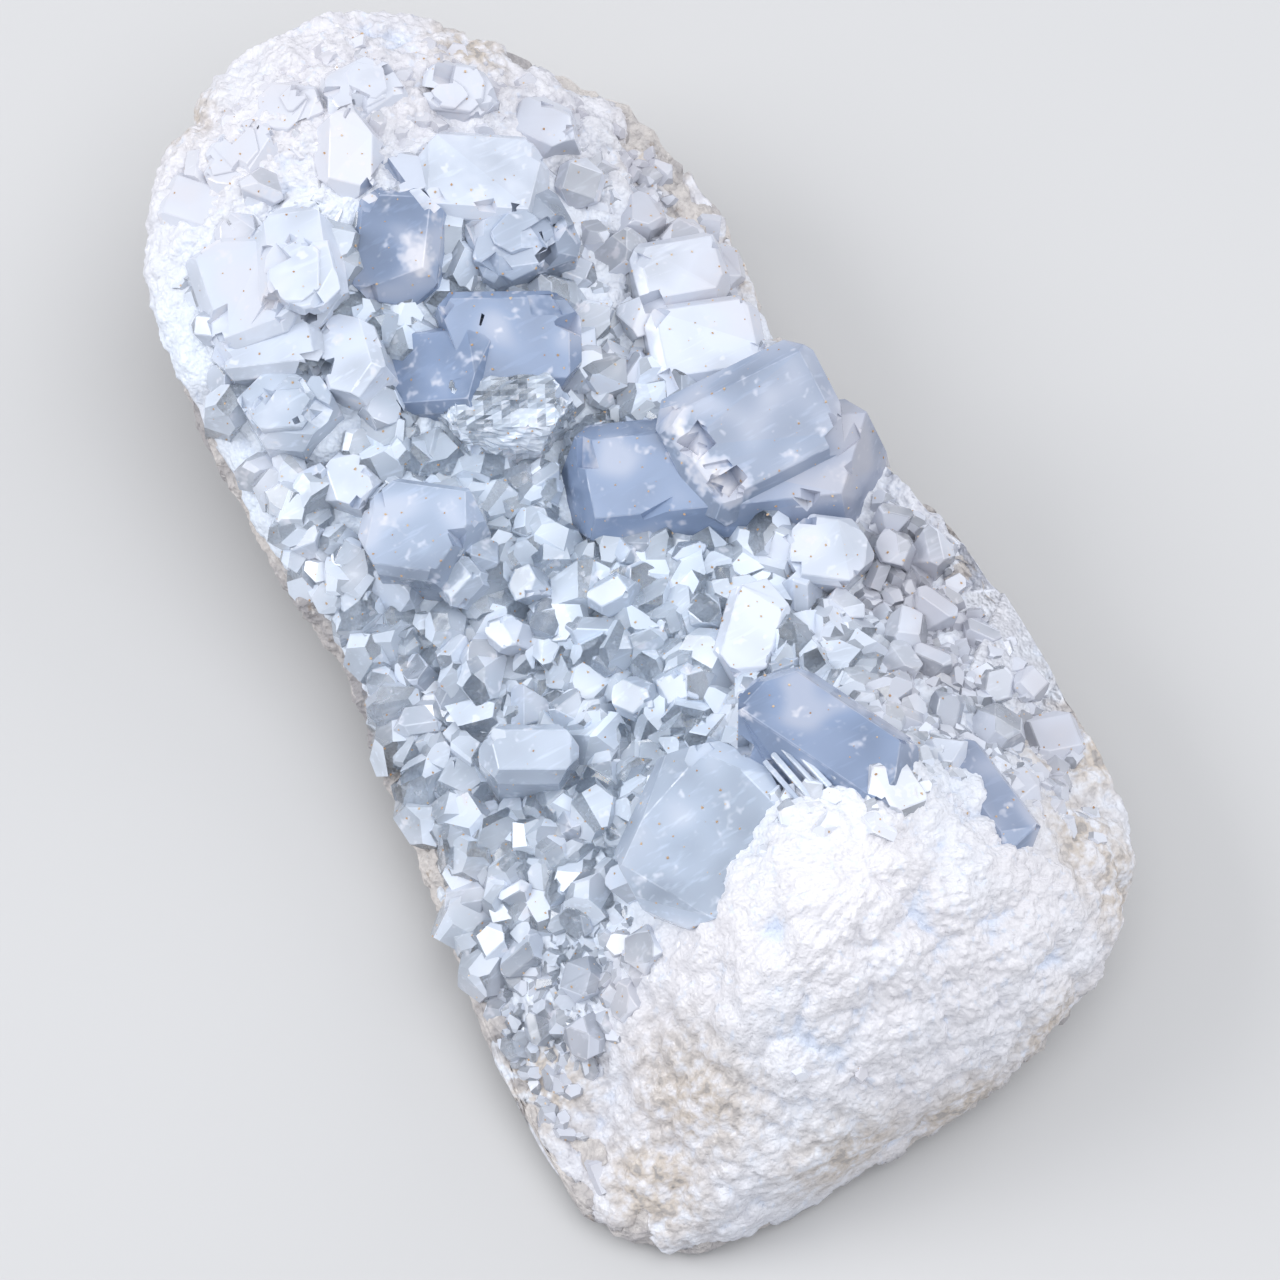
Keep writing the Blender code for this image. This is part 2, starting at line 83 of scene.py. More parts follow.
# The level that the crystals grow from: x, y and height of a few spots, in mm
ROOT_SPOTS = (
    (4, -48, 38), (14, -50, 34), (0, -39, 34.5), (9, -38, 33), (-9, -49, 34), (-20.5, -49, 14), (4, -24, 21),
    (23, -31, 18.5), (27, -43, 19), (-9, -30, 19.5), (-21, -34, 12.5), (-5, -9, 15.5), (-20, -5, 13), (16, -12, 18),
    (18, 2, 20), (-14, 9, 18), (0, 12, 18), (-2, 23, 20.5), (-20, 25, 21.5), (14, 22, 18.5), (-12, 37, 26),
    (6, 36, 24), (20, 34, 19), (-4, 48, 30), (10, 47, 26), (-21, -18, 12), (4, -58, 37), (-24, -57, 10),
)
# The level where the rock matrix ends and the celestite begins, in mm
SEAM_SPOTS = (
    (-22, -58, 2.8), (0, -60, 3.5), (20, -57, 7), (31, -42, 12), (30, -20, 15.5), (27, 8, 15.5), (28, 30, 17),
    (14, 53, 22), (-3, 60, 23), (-20, 49, 21), (-26, 28, 16), (-24, 8, 11), (-27, -18, 7.5), (-30, -42, 5),
    (0, -30, 9), (0, 0, 9.5), (0, 30, 13),
)
# How white and sugary the celestite is, from 0 where it is clear and blue to 1: x, y in mm and the share
WHITE_SPOTS = (
    (4, -48, 1), (16, -50, 1), (-12, -50, 1), (-24, -57, 0.8), (4, -60, 1), (10, -38, 0.5), (-3.8, -40, 0.8),
    (27, -42, 0.6), (27, -25, 0.5), (20, -22, 0.35), (24, -6, 0.45), (-7, -32, 0), (-22, -34, 0.25),
    (-22.4, -41.2, 0.6), (-18.6, -43.7, 0.95), (-26, -47.7, 0.85), (-5, -10, 0), (-20, -8, 0.1), (8, -14, 0.1),
    (0, 8, 0), (-14, 10, 0), (18, 4, 0), (-22, 24, 0.2), (-4, 24, 0), (12, 16, 0.3), (24, 20, 0.6), (24, 34, 0.75),
    (14, 46, 0.95), (4, 34, 0.15), (-14, 38, 0.2), (-14, 52, 1), (-2, 50, 1), (0, 60, 1),
)
# How grey and dull the celestite is, from 0 to 1: x, y in mm and the share
SHADE_SPOTS = (
    (4, -48, 0.05), (18, -45, 0.45), (16, -54, 0.1), (-12, -50, 0.1), (4, -60, 0.3), (-24, -57, 1), (-24, -48, 0.9),
    (0, -22, 0), (-5, -5, 0), (0, 12, 0), (-14, 10, 0.1), (-20, -10, 0.3), (-20, -34, 0.35), (-25, -24, 0.3),
    (27, -42, 0.8), (27, -25, 1), (20, -22, 0.8), (26, -6, 1), (13, -16, 0.1), (24, 14, 0.6), (25, 22, 0.9),
    (25, 34, 0.9), (14, 47, 0.9), (-14, 53, 0.5), (-2, 51, 0.5), (0, 60, 0.7), (-14, 38, 0.3), (4, 34, 0.2),
    (-4, 24, 0), (-22, 24, 0.2),
)
# How finely the girdle is read, how softly a level follows its spots, how boxy the base and the top are, how deep the
# flat spot cuts into the base, and how far and over what distance the end of the rock wavers
GIRDLE_STEPS = 1440
RELIEF_SOFTNESS = 9.0 * MM
LOWER_SQUARENESS = 2.4
UPPER_SQUARENESS = 3.0
FLAT_SPOT_DEPTH = 1.0 * MM
SEAM_WAVER = 2.4 * MM
SEAM_WAVES = 3.5 * MM

# Angles between the faces of a celestite crystal: from its length to a prism face's normal, and from its flat
# face's normal to those of the two kinds of bevel, at the ends and along the sides
PRISM_ANGLE = math.radians(37.9)
END_BEVEL_ANGLE = math.radians(39.4)
SIDE_BEVEL_ANGLE = math.radians(52.0)


def eased(share: np.ndarray) -> np.ndarray:
    """Returns a share from 0 to 1 with a soft start and a soft end."""
    return share * share * (3.0 - 2.0 * share)


def rising(values: np.ndarray, start: float, over: float) -> np.ndarray:
    """Turns values into a share that rises from 0 to 1.

    Args:
        values: The values.
        start: The value where it starts to rise.
        over: How much further on it is 1.

    Returns:
        The share for each value.
    """
    return np.clip((values - start) / over, 0.0, 1.0)


@dataclass(frozen=True)
class Relief:
    """A smooth level over x and y through a few spots.

    Attributes:
        spots: x and y in mm and the level there.
        unit: What the level is counted in, in metres, or 1 for a share.
    """

    spots: tuple[Triple, ...]
    unit: float

    def at(self, x: np.ndarray, y: np.ndarray) -> np.ndarray:
        """Works the level out over many places.

        Args:
            x: The places' x, in metres.
            y: The places' y, in metres.

        Returns:
            The level over each place.
        """
        points = np.array(self.spots)
        where = points[:, :2] * MM
        levels = points[:, 2] * self.unit
        apart = np.linalg.norm(where[:, None] - where[None, :], axis=2)
        mean = levels.mean()
        weights = np.linalg.solve(np.sqrt(apart**2 + RELIEF_SOFTNESS**2), levels - mean)
        x, y = np.asarray(x, float), np.asarray(y, float)
        total = np.full(x.shape, mean)
        for (px, py), weight in zip(where, weights):
            total += weight * np.sqrt((x - px) ** 2 + (y - py) ** 2 + RELIEF_SOFTNESS**2)
        return total

    def share(self, places: np.ndarray) -> np.ndarray:
        """Returns the level over points, one row each, kept between 0 and 1."""
        return np.clip(self.at(places[:, 0], places[:, 1]), 0.0, 1.0)


@dataclass(frozen=True)
class BodyForm:
    """The whole body without its crystals: a girdle, a domed top over the root level and a flat-bottomed base.

    Attributes:
        root: The level that the crystals grow from.
        seam: The level where the rock ends.
        white: How white the celestite is.
        shade: How grey it is.
    """

    root: Relief = Relief(ROOT_SPOTS, MM)
    seam: Relief = Relief(SEAM_SPOTS, MM)
    white: Relief = Relief(WHITE_SPOTS, 1.0)
    shade: Relief = Relief(SHADE_SPOTS, 1.0)

    def girdle(self, angle: np.ndarray) -> tuple[np.ndarray, np.ndarray]:
        """Works out the widest line by a curve through its points.

        Args:
            angle: Directions from the middle, in radians.

        Returns:
            The reach from the middle and the height of the widest line in each direction.
        """
        points = np.array(GIRDLE) * MM
        angles = np.arctan2(points[:, 1], points[:, 0])
        order = np.argsort(angles)
        turns = np.concatenate([angles[order] - math.tau, angles[order], angles[order] + math.tau])
        values = np.tile(np.stack([np.hypot(points[:, 0], points[:, 1]), points[:, 2]], 1)[order], (3, 1))
        at = np.searchsorted(turns, angle) - 1
        span = (turns[at + 1] - turns[at])[:, None]
        t = (angle - turns[at])[:, None] / span
        before = (values[at + 1] - values[at - 1]) / (turns[at + 1] - turns[at - 1])[:, None] * span
        after = (values[at + 2] - values[at]) / (turns[at + 2] - turns[at])[:, None] * span
        curve = (
            values[at] * (2 * t**3 - 3 * t**2 + 1)
            + before * (t**3 - 2 * t**2 + t)
            + values[at + 1] * (3 * t**2 - 2 * t**3)
            + after * (t**3 - t**2)
        )
        return curve[:, 0], curve[:, 1]

    def surface(self, angle: np.ndarray, share: np.ndarray, upper: bool) -> np.ndarray:
        """Works out points of the body's surface.

        Args:
            angle: Directions from the middle, in radians.
            share: How far out each point lies, from 0 in the middle to 1 at the girdle.
            upper: Whether the points are on the top or on the base.

        Returns:
            One row of x, y and z for each point.
        """
        reach, rim = self.girdle(angle)
        x, y = share * reach * np.cos(angle), share * reach * np.sin(angle)
        if upper:
            dome = np.maximum(0.0, 1.0 - share**UPPER_SQUARENESS) ** (1.0 / UPPER_SQUARENESS)
            z = rim + (self.root.at(x, y) - rim) * dome
        else:
            dome = np.maximum(0.0, 1.0 - share**LOWER_SQUARENESS) ** (1.0 / LOWER_SQUARENESS)
            z = np.maximum(0.0, rim - (rim + FLAT_SPOT_DEPTH) * dome)
        return np.stack([x, y, z], 1)

    def top(self, x: np.ndarray, y: np.ndarray) -> tuple[np.ndarray, np.ndarray]:
        """Works out the body's top over many places.

        Args:
            x: The places' x, in metres.
            y: The places' y, in metres.

        Returns:
            The top's height over each place and the place's share of the reach there.
        """
        angle = np.arctan2(y, x)
        share = np.hypot(x, y) / self.girdle(angle)[0]
        return self.surface(angle, np.minimum(share, 1.0), upper=True)[:, 2], share

    def above_seam(self, places: np.ndarray) -> np.ndarray:
        """Measures how far points lie above the line where the rock ends, which wavers.

        Args:
            places: One row of x, y and z for each point.

        Returns:
            The height above the line, in metres.
        """
        waver = np.array([noise.noise(Vector(place) / SEAM_WAVES) for place in places])
        return places[:, 2] - self.seam.at(places[:, 0], places[:, 1]) - waver * SEAM_WAVER

    def closed_mesh(self, name: str, around: int, lower: int, upper: int) -> bpy.types.Mesh:
        """Builds the whole body as a closed mesh of rings.

        Args:
            name: The mesh's name.
            around: How many points a ring has.
            lower: How many rings the base has.
            upper: How many rings the top has.

        Returns:
            The mesh, with its faces pointing out.
        """
        angles = np.linspace(-math.pi, math.pi, around, endpoint=False)
        rings = [(math.sin(0.5 * math.pi * step / lower), False) for step in range(1, lower)]
        rings += [(math.sin(0.5 * math.pi * step / upper), True) for step in range(upper, 0, -1)]
        rows = [self.surface(angles, np.full(around, share), top) for share, top in rings]
        middle = [self.surface(np.zeros(1), np.zeros(1), top) for top in (False, True)]
        points = np.concatenate([middle[0], *rows, middle[1]])
        last = len(points) - 1
        faces = []
        for step in range(around):
            after = (step + 1) % around
            faces.append((0, 1 + after, 1 + step))
            for row in range(len(rows) - 1):
                low, high = 1 + row * around, 1 + (row + 1) * around
                faces.append((low + step, low + after, high + after, high + step))
            start = 1 + (len(rows) - 1) * around
            faces.append((start + step, start + after, last))
        mesh = bpy.data.meshes.new(name)
        mesh.from_pydata(points.tolist(), [], faces)
        return mesh


@dataclass(frozen=True)
class Signal:
    """A node socket that takes part in Python expressions: each operation adds a Math node.

    Attributes:
        graph: The graph that its node is in.
        socket: The node's output.
    """

    graph: "NodeGraph"
    socket: bpy.types.NodeSocket

    def _math(self, operation: str, first: object, second: object) -> "Signal":
        """Adds a Math node and returns its result."""
        return self.graph.add("ShaderNodeMath", {"operation": operation}, {0: first, 1: second})

    def __add__(self, other: object) -> "Signal":
        """Adds something to the signal."""
        return self._math("ADD", self, other)

    def __radd__(self, other: object) -> "Signal":
        """Adds the signal to something."""
        return self._math("ADD", other, self)

    def __sub__(self, other: object) -> "Signal":
        """Takes something from the signal."""
        return self._math("SUBTRACT", self, other)

    def __rsub__(self, other: object) -> "Signal":
        """Takes the signal from something."""
        return self._math("SUBTRACT", other, self)

    def __mul__(self, other: object) -> "Signal":
        """Multiplies the signal."""
        return self._math("MULTIPLY", self, other)

    def __rmul__(self, other: object) -> "Signal":
        """Multiplies something by the signal."""
        return self._math("MULTIPLY", other, self)

    def clamped(self) -> "Signal":
        """Returns the signal kept between 0 and 1."""
        return self.graph.add("ShaderNodeClamp", {}, {"Value": self})

    def between(self, low: float, high: float, start: float = 0.0, end: float = 1.0) -> "Signal":
        """Stretches the part of the signal between two levels.

        Args:
            low: The level that becomes start.
            high: The level that becomes end.
            start: The result at low and below.
            end: The result at high and above.

        Returns:
            The stretched signal.
        """
        levels = {"Value": self, "From Min": low, "From Max": high, "To Min": start, "To Max": end}
        return self.graph.add("ShaderNodeMapRange", {"interpolation_type": "SMOOTHSTEP"}, levels)


class NodeGraph:
    """Adds nodes to a shader tree or a geometry tree."""

    def __init__(self, tree: bpy.types.NodeTree) -> None:
        """Keeps the tree that the nodes go into."""
        self.tree = tree

    def add(
        self,
        kind: str,
        settings: Mapping[str, object] | None = None,
        sockets: Mapping[str | int, object] | None = None,
        output: str | int = 0,
    ) -> Signal:
        """Adds a node.

        Args:
            kind: The node's type.
            settings: The node's own properties, and stops for a colour ramp as positions and colours.
            sockets: The value or the link of each input, by name or number.
            output: Which output is returned.

        Returns:
            The output.
        """
        node = self.tree.nodes.new(kind)
        for key, value in (settings or {}).items():
            if key == "stops":
                self._set_stops(node.color_ramp, value)
            else:
                setattr(node, key, value)
        for key, value in (sockets or {}).items():
            if isinstance(value, Signal):
                self.tree.links.new(value.socket, node.inputs[key])
            else:
                node.inputs[key].default_value = value
        return Signal(self, node.outputs[output])

    @staticmethod
    def _set_stops(ramp: bpy.types.ColorRamp, stops: Sequence[tuple[float, tuple[float, ...]]]) -> None:
        """Sets a colour ramp's stops."""
        while len(ramp.elements) < len(stops):
            ramp.elements.new(1.0)
        for element, (position, color) in zip(ramp.elements, stops):
            element.position = position
            element.color = (*color, 1.0)

    def output_of(self, signal: Signal, name: str) -> Signal:
        """Returns another output of the node that a signal comes from."""
        return Signal(self, signal.socket.node.outputs[name])


class ShaderGraph(NodeGraph):
    """The node tree of one material."""

    def __init__(self, name: str) -> None:
        """Makes the material and its output."""
        self.material = bpy.data.materials.new(name)
        self.material.use_nodes = True
        self.material.node_tree.nodes.clear()
        super().__init__(self.material.node_tree)
        self.place = self.add("ShaderNodeTexCoord", output="Object")

    def noise(self, size: float, detail: float, rough: float = 0.5, place: Signal | None = None) -> Signal:
        """Adds cloudy noise.

        Args:
            size: The size of its largest blotches, in metres.
            detail: How many finer layers it has.
            rough: How strong the finer layers are.
            place: The place that it is read at, where that isn't the mesh's own.

        Returns:
            The noise, about 0.5 on average.
        """
        sockets = {"Vector": place or self.place, "Scale": 1.0 / size, "Detail": detail, "Roughness": rough}
        return self.add("ShaderNodeTexNoise", {}, sockets)

    def cells(self, size: float) -> Signal:
        """Returns the distance to the nearest of many spots, which lie about a size in metres apart."""
        return self.add("ShaderNodeTexVoronoi", {"feature": "F1"}, {"Vector": self.place, "Scale": 1.0 / size})

    def stretched(self, scale: Triple, turn: float = 0.0) -> Signal:
        """Returns the place with each axis scaled, and turned about Z by an angle in radians."""
        sockets = {"Vector": self.place, "Rotation": (0.0, 0.0, turn), "Scale": scale}
        return self.add("ShaderNodeMapping", {}, sockets)

    def attribute(self, name: str) -> Signal:
        """Reads a value that the mesh holds at each point."""
        return self.add("ShaderNodeAttribute", {"attribute_name": name}, output="Fac")

    def mixed(self, factor: object, first: object, second: object) -> Signal:
        """Mixes two colours.

        Args:
            factor: The share of the second.
            first: A colour or a colour signal.
            second: A colour or a colour signal.

        Returns:
            The mixed colour.
        """
        node = self.tree.nodes.new("ShaderNodeMix")
        node.data_type = "RGBA"
        for socket, value in zip((node.inputs[0], node.inputs[6], node.inputs[7]), (factor, first, second)):
            if isinstance(value, Signal):
                self.tree.links.new(value.socket, socket)
            elif isinstance(value, tuple):
                socket.default_value = (*value, 1.0)
            else:
                socket.default_value = value
        return Signal(self, node.outputs[2])

    def bump(self, height: Signal, depth: float) -> Signal:
        """Turns a height into a normal.

        Args:
            height: The height, from 0 to 1.
            depth: How deep 0 lies under 1, in metres.

        Returns:
            The normal.
        """
        return self.add("ShaderNodeBump", {}, {"Height": height, "Distance": depth, "Strength": 1.0})

    def principled(self, color: object, roughness: object, **others: object) -> Signal:
        """Adds a Principled shader.

        Args:
            color: Its base colour.
            roughness: Its roughness.
            others: Its other inputs by name, with an underscore for each space.

        Returns:
            The shader.
        """
        sockets = {"Base Color": color, "Roughness": roughness}
        sockets |= {name.replace("_", " "): value for name, value in others.items()}
        return self.add("ShaderNodeBsdfPrincipled", {}, sockets)

    def finish(self, surface: Signal, volume: Signal | None = None) -> bpy.types.Material:
        """Links the output and returns the material."""
        sockets = {"Surface": surface} | ({"Volume": volume} if volume else {})
        node = self.tree.nodes.new("ShaderNodeOutputMaterial")
        for key, value in sockets.items():
            self.tree.links.new(value.socket, node.inputs[key])
        return self.material


@dataclass(frozen=True)
class Spot:
    """A round place where something changes.

    Attributes:
        place: Its middle, in mm.
        radius: Its radius, in mm.
    """

    place: Triple
    radius: float

    def share(self, places: np.ndarray) -> np.ndarray:
        """Works out how far inside the spot points lie, from 0 outside to 1 in the middle."""
        away = np.linalg.norm(places - np.array(self.place) * MM, axis=1) / (self.radius * MM)
        return eased(np.clip(1.0 - away, 0.0, 1.0))


@dataclass(frozen=True)
class CelestiteFinish:
    """Pale blue celestite: see-through, with hazy clouds, faint growth lines and frosted breaks.

    It reads these values from the mesh: white and deep for the colour of a crystal, shade for grey places, worn for
    its breaks and its rounded edges, where the frost is partly real wear and partly a painted highlight, and flaw for
    how hazy it is behind each face.

    Attributes:
        name: The material's name.
        haze: The share that is milky on average.
        clouds: How much the haze varies.
        flaws: How much the haze varies from face to face.
        milk: The colour of the milky share.
        deep: The colour of the milky share of the deep blue ones.
        frost: The colour of broken and worn places, and of the rounded edges, where it is partly a painted highlight.
        dull: The colour that the grey places tend to.
        glass: The colour of the clear share.
        roughness: How dull the faces are.
        ior: How much it bends light.
        absorbed: The colour that thick crystal takes.
        density: How fast it takes it, per metre.
        breaks: Frosted places.
        cloud_size: The size of the clouds, in metres.
        veil_size: The size of the thin veils, in metres.
        line_size: The distance between growth lines, in metres.
        line_turn: The direction of the growth lines, in radians.
        ripple_size: The size of the ripples on the faces, in metres.
        ripple_depth: The depth of the ripples, in metres.
    """

    name: str = "celestite_clear"
    haze: float = 0.66
    clouds: float = 1.1
    flaws: float = 0.45
    milk: Triple = (0.75, 0.85, 1.0)
    deep: Triple = (0.225, 0.30, 0.46)
    frost: Triple = (0.74, 0.735, 0.79)
    dull: Triple = (0.40, 0.40, 0.46)
    glass: Triple = (0.89, 0.945, 1.0)
    roughness: float = 0.03
    ior: float = 1.625
    absorbed: Triple = (0.42, 0.63, 0.95)
    density: float = 28.0
    breaks: tuple[Spot, ...] = ()
    cloud_size: float = 7.0 * MM
    veil_size: float = 2.0 * MM
    line_size: float = 0.7 * MM
    line_turn: float = 0.35
    ripple_size: float = 2.5 * MM
    ripple_depth: float = 0.12 * MM

    def _frosted(self, graph: ShaderGraph, veils: Signal) -> Signal:
        """Works out the frosted share, which on the rounded edges is partly a painted highlight.

        Args:
            graph: The material's nodes.
            veils: The thin veils, which make the frost's border ragged.

        Returns:
            The share, above 1 in some places.
        """
        # Frost of breaks and wear; on the rounded edges it is partly a painted highlight
        frosted = graph.attribute("worn") * veils.between(0.35, 0.6)
        for spot in self.breaks:
            sockets = {0: graph.place, 1: tuple(value * MM for value in spot.place)}
            away = graph.add("ShaderNodeVectorMath", {"operation": "DISTANCE"}, sockets, output="Value")
            away = away * (1.0 / (spot.radius * MM)) + (veils - 0.5) * 2.0
            frosted = frosted + away.between(1.0, 0.4, 0.0, 0.6)
        return frosted

    def material(self) -> bpy.types.Material:
        """Returns the material."""
        graph = ShaderGraph(self.name)
        clouds = graph.noise(self.cloud_size, 1.0, 0.6)
        veils = graph.noise(self.veil_size, 2.0, 0.7)
        lines = graph.noise(self.line_size, 2.0, place=graph.stretched((0.12, 1.0, 1.0), self.line_turn))
        white, deep = graph.attribute("white"), graph.attribute("deep")
        frosted = self._frosted(graph, veils)
        haze = self.haze + deep * 0.3 + (clouds - 0.5) * self.clouds + veils.between(0.60, 0.74) * 0.3
        haze = haze + lines.between(0.55, 0.75) * 0.15 + frosted + white * 0.8 + graph.attribute("flaw") * self.flaws
        pale = veils.between(0.58, 0.78, 0.0, 0.6) + clouds.between(0.5, 0.7, 0.0, 0.3) + white * 0.8 + frosted
        milk = graph.mixed(deep, self.milk, self.deep)
        milk = graph.mixed(pale.clamped(), milk, self.frost)
        milk = graph.mixed(graph.attribute("shade") * clouds.between(0.3, 0.7, 0.35, 0.75), milk, self.dull)
        ripple = graph.noise(self.ripple_size, 1.0)
        normal = graph.bump(ripple * (0.6 + graph.attribute("worn") * 3.0), self.ripple_depth)
        gloss = veils.between(0.3, 0.8, self.roughness, self.roughness + 0.10)
        glass = graph.principled((*self.glass, 1.0), gloss, IOR=self.ior, Transmission_Weight=1.0, Normal=normal)
        gloss = veils.between(0.3, 0.8, self.roughness + 0.05, self.roughness + 0.25)
        milky = graph.principled(milk, gloss, IOR=self.ior, Normal=normal)
        surface = graph.add("ShaderNodeMixShader", {}, {0: haze.clamped(), 1: glass, 2: milky})
        sockets = {"Color": (*self.absorbed, 1.0), "Density": self.density}
        return graph.finish(surface, graph.add("ShaderNodeVolumeAbsorption", {}, sockets))


# Brown and grey stains on the white crust, and frosted breaks on the large crystals
STAINS = (
    Spot((-20, -52, 16), 12), Spot((-24, -55, 6), 9), Spot((-8, -60, 10), 10), Spot((14.4, -59.2, 10), 8),
    Spot((26, -52, 14), 8), Spot((31, -40, 16), 8), Spot((30, -30, 18), 5), Spot((-14, 58, 25), 6),
    Spot((14, 53, 24), 7), Spot((27, 37, 18), 7), Spot((28, 22, 17), 6), Spot((-25, -20, 10), 6),
    Spot((-29, -41, 7), 9), Spot((29, -38, 17), 9), Spot((24, -48, 17), 9), Spot((4, -62, 7), 9),
)
BREAKS = (
    Spot((11, 5.6, 26.5), 2.2), Spot((11.4, 2.4, 25.6), 2.2), Spot((11.8, -0.6, 24.6), 2.4),
    Spot((13, -2.6, 23.6), 2.4), Spot((23.3, -7, 24.5), 1.8), Spot((-2.3, 32, 29.5), 2.6),
)


@dataclass(frozen=True)
class CrustFinish:
    """Massive celestite: white and sugary, or pale blue where crystals grow from it.

    It reads these values from the mesh: white for the colour, shade for grey places, stain for stained ones and
    relief for how far a place stands out, in mm. Its low places are darkened toward a bluish painted shade, and the
    same colour marks its fibres.
    """

    name: str = "sugary_celestite"
    white: Triple = (0.74, 0.73, 0.775)
    # Bluish painted shade for the low places, which also colours the fibres
    painted_shade_and_fibres: Triple = (0.65, 0.73, 0.89)
    blue: Triple = (0.78, 0.87, 1.0)
    stain: Triple = (0.54, 0.48, 0.43)
    soot: Triple = (0.30, 0.29, 0.30)
    dull: Triple = (0.40, 0.40, 0.46)
    ior: float = 1.6

    def material(self) -> bpy.types.Material:
        """Returns the material."""
        graph = ShaderGraph(self.name)
        blotches = graph.noise(9.0 * MM, 3.0, 0.6)
        fine = graph.noise(0.8 * MM, 3.0, 0.75)
        pits = graph.noise(1.5 * MM, 2.0, 0.6)
        fibres = graph.noise(0.9 * MM, 2.0, place=graph.stretched((1.0, 1.0, 0.25)))
        whiteness = (graph.attribute("white") + (blotches - 0.5) * 0.9).clamped()
        color = graph.mixed(whiteness, self.blue, self.white)
        # Painted shade: low places of the relief and of the fine noise are darkened toward the shade colour
        low = (graph.attribute("relief") * -1.2 + (fine - 0.5) * 1.2).between(0.05, 0.9, 0.0, 0.7)
        color = graph.mixed(low, color, self.painted_shade_and_fibres)
        color = graph.mixed(fibres.between(0.58, 0.72, 0.0, 0.5), color, self.painted_shade_and_fibres)
        color = graph.mixed(graph.attribute("shade") * pits.between(0.35, 0.65, 0.15, 0.5), color, self.dull)
        stained = graph.attribute("stain") + (blotches - 0.5) * 0.8 * graph.attribute("stain")
        color = graph.mixed((stained * 1.2).clamped() * pits.between(0.30, 0.60), color, self.stain)
        color = graph.mixed(stained.clamped() * pits.between(0.56, 0.66) * 0.8, color, self.soot)
        gloss = fine.between(0.3, 0.7, 0.25, 0.65)
        normal = graph.bump(graph.noise(0.5 * MM, 1.0), 0.25 * MM)
        return graph.finish(graph.principled(color, gloss, IOR=self.ior, Normal=normal))


@dataclass(frozen=True)
class RockFinish:
    """Rough matrix rock: cream and grey, with small brown and pale patches."""

    name: str = "matrix_rock_rough"
    cream: Triple = (0.60, 0.565, 0.55)
    grey: Triple = (0.38, 0.365, 0.38)
    brown: Triple = (0.24, 0.18, 0.13)
    pale: Triple = (0.74, 0.71, 0.70)

    def material(self) -> bpy.types.Material:
        """Returns the material."""
        graph = ShaderGraph(self.name)
        patches = graph.noise(10.0 * MM, 5.0, 0.65)
        spots = graph.noise(2.5 * MM, 5.0, 0.7)
        grains = graph.cells(0.6 * MM)
        color = graph.mixed(patches.between(0.40, 0.62), self.cream, self.grey)
        color = graph.mixed(spots.between(0.60, 0.72, 0.0, 0.7), color, self.brown)
        color = graph.mixed(graph.noise(1.6 * MM, 4.0, 0.6).between(0.56, 0.70, 0.0, 0.8), color, self.pale)
        normal = graph.bump(grains * 0.6 + spots * 0.8, 0.5 * MM)
        return graph.finish(graph.principled(color, spots.between(0.3, 0.7, 0.75, 0.95), Normal=normal))


@dataclass(frozen=True)
class DustFinish:
    """Tan and rusty specks in the crevices, by stops that are places in the noise and colours."""

    name: str = "tan_dust"
    stops: tuple[tuple[float, Triple], ...] = (
        (0.35, (0.42, 0.24, 0.12)), (0.6, (0.62, 0.46, 0.30)), (0.8, (0.75, 0.68, 0.58)),
    )
    roughness: float = 0.9

    def material(self) -> bpy.types.Material:
        """Returns the material."""
        graph = ShaderGraph(self.name)
        color = graph.add("ShaderNodeValToRGB", {"stops": self.stops}, {"Fac": graph.noise(1.5 * MM, 2.0)})
        return graph.finish(graph.principled(color, self.roughness))


class Wear(Enum):
    """How whole a large crystal is: with plain faces, with growth steps on its face, or with a crumpled skin."""

    SHARP = "sharp"
    STEPPED = "stepped"
    BROKEN = "broken"


def prism_normal(side: int, other: int) -> Vector:
    """Returns the direction of a crystal's prism face, by its side along the length and across it."""
    return Vector((side * math.cos(PRISM_ANGLE), other * math.sin(PRISM_ANGLE), 0))


def end_bevel_normal(side: int) -> Vector:
    """Returns the direction of the bevel at one end of a crystal."""
    return Vector((side * math.sin(END_BEVEL_ANGLE), 0, math.cos(END_BEVEL_ANGLE)))


def side_bevel_normal(side: int) -> Vector:
    """Returns the direction of the bevel along one side of a crystal."""
    return Vector((0, side * math.sin(SIDE_BEVEL_ANGLE), math.cos(SIDE_BEVEL_ANGLE)))


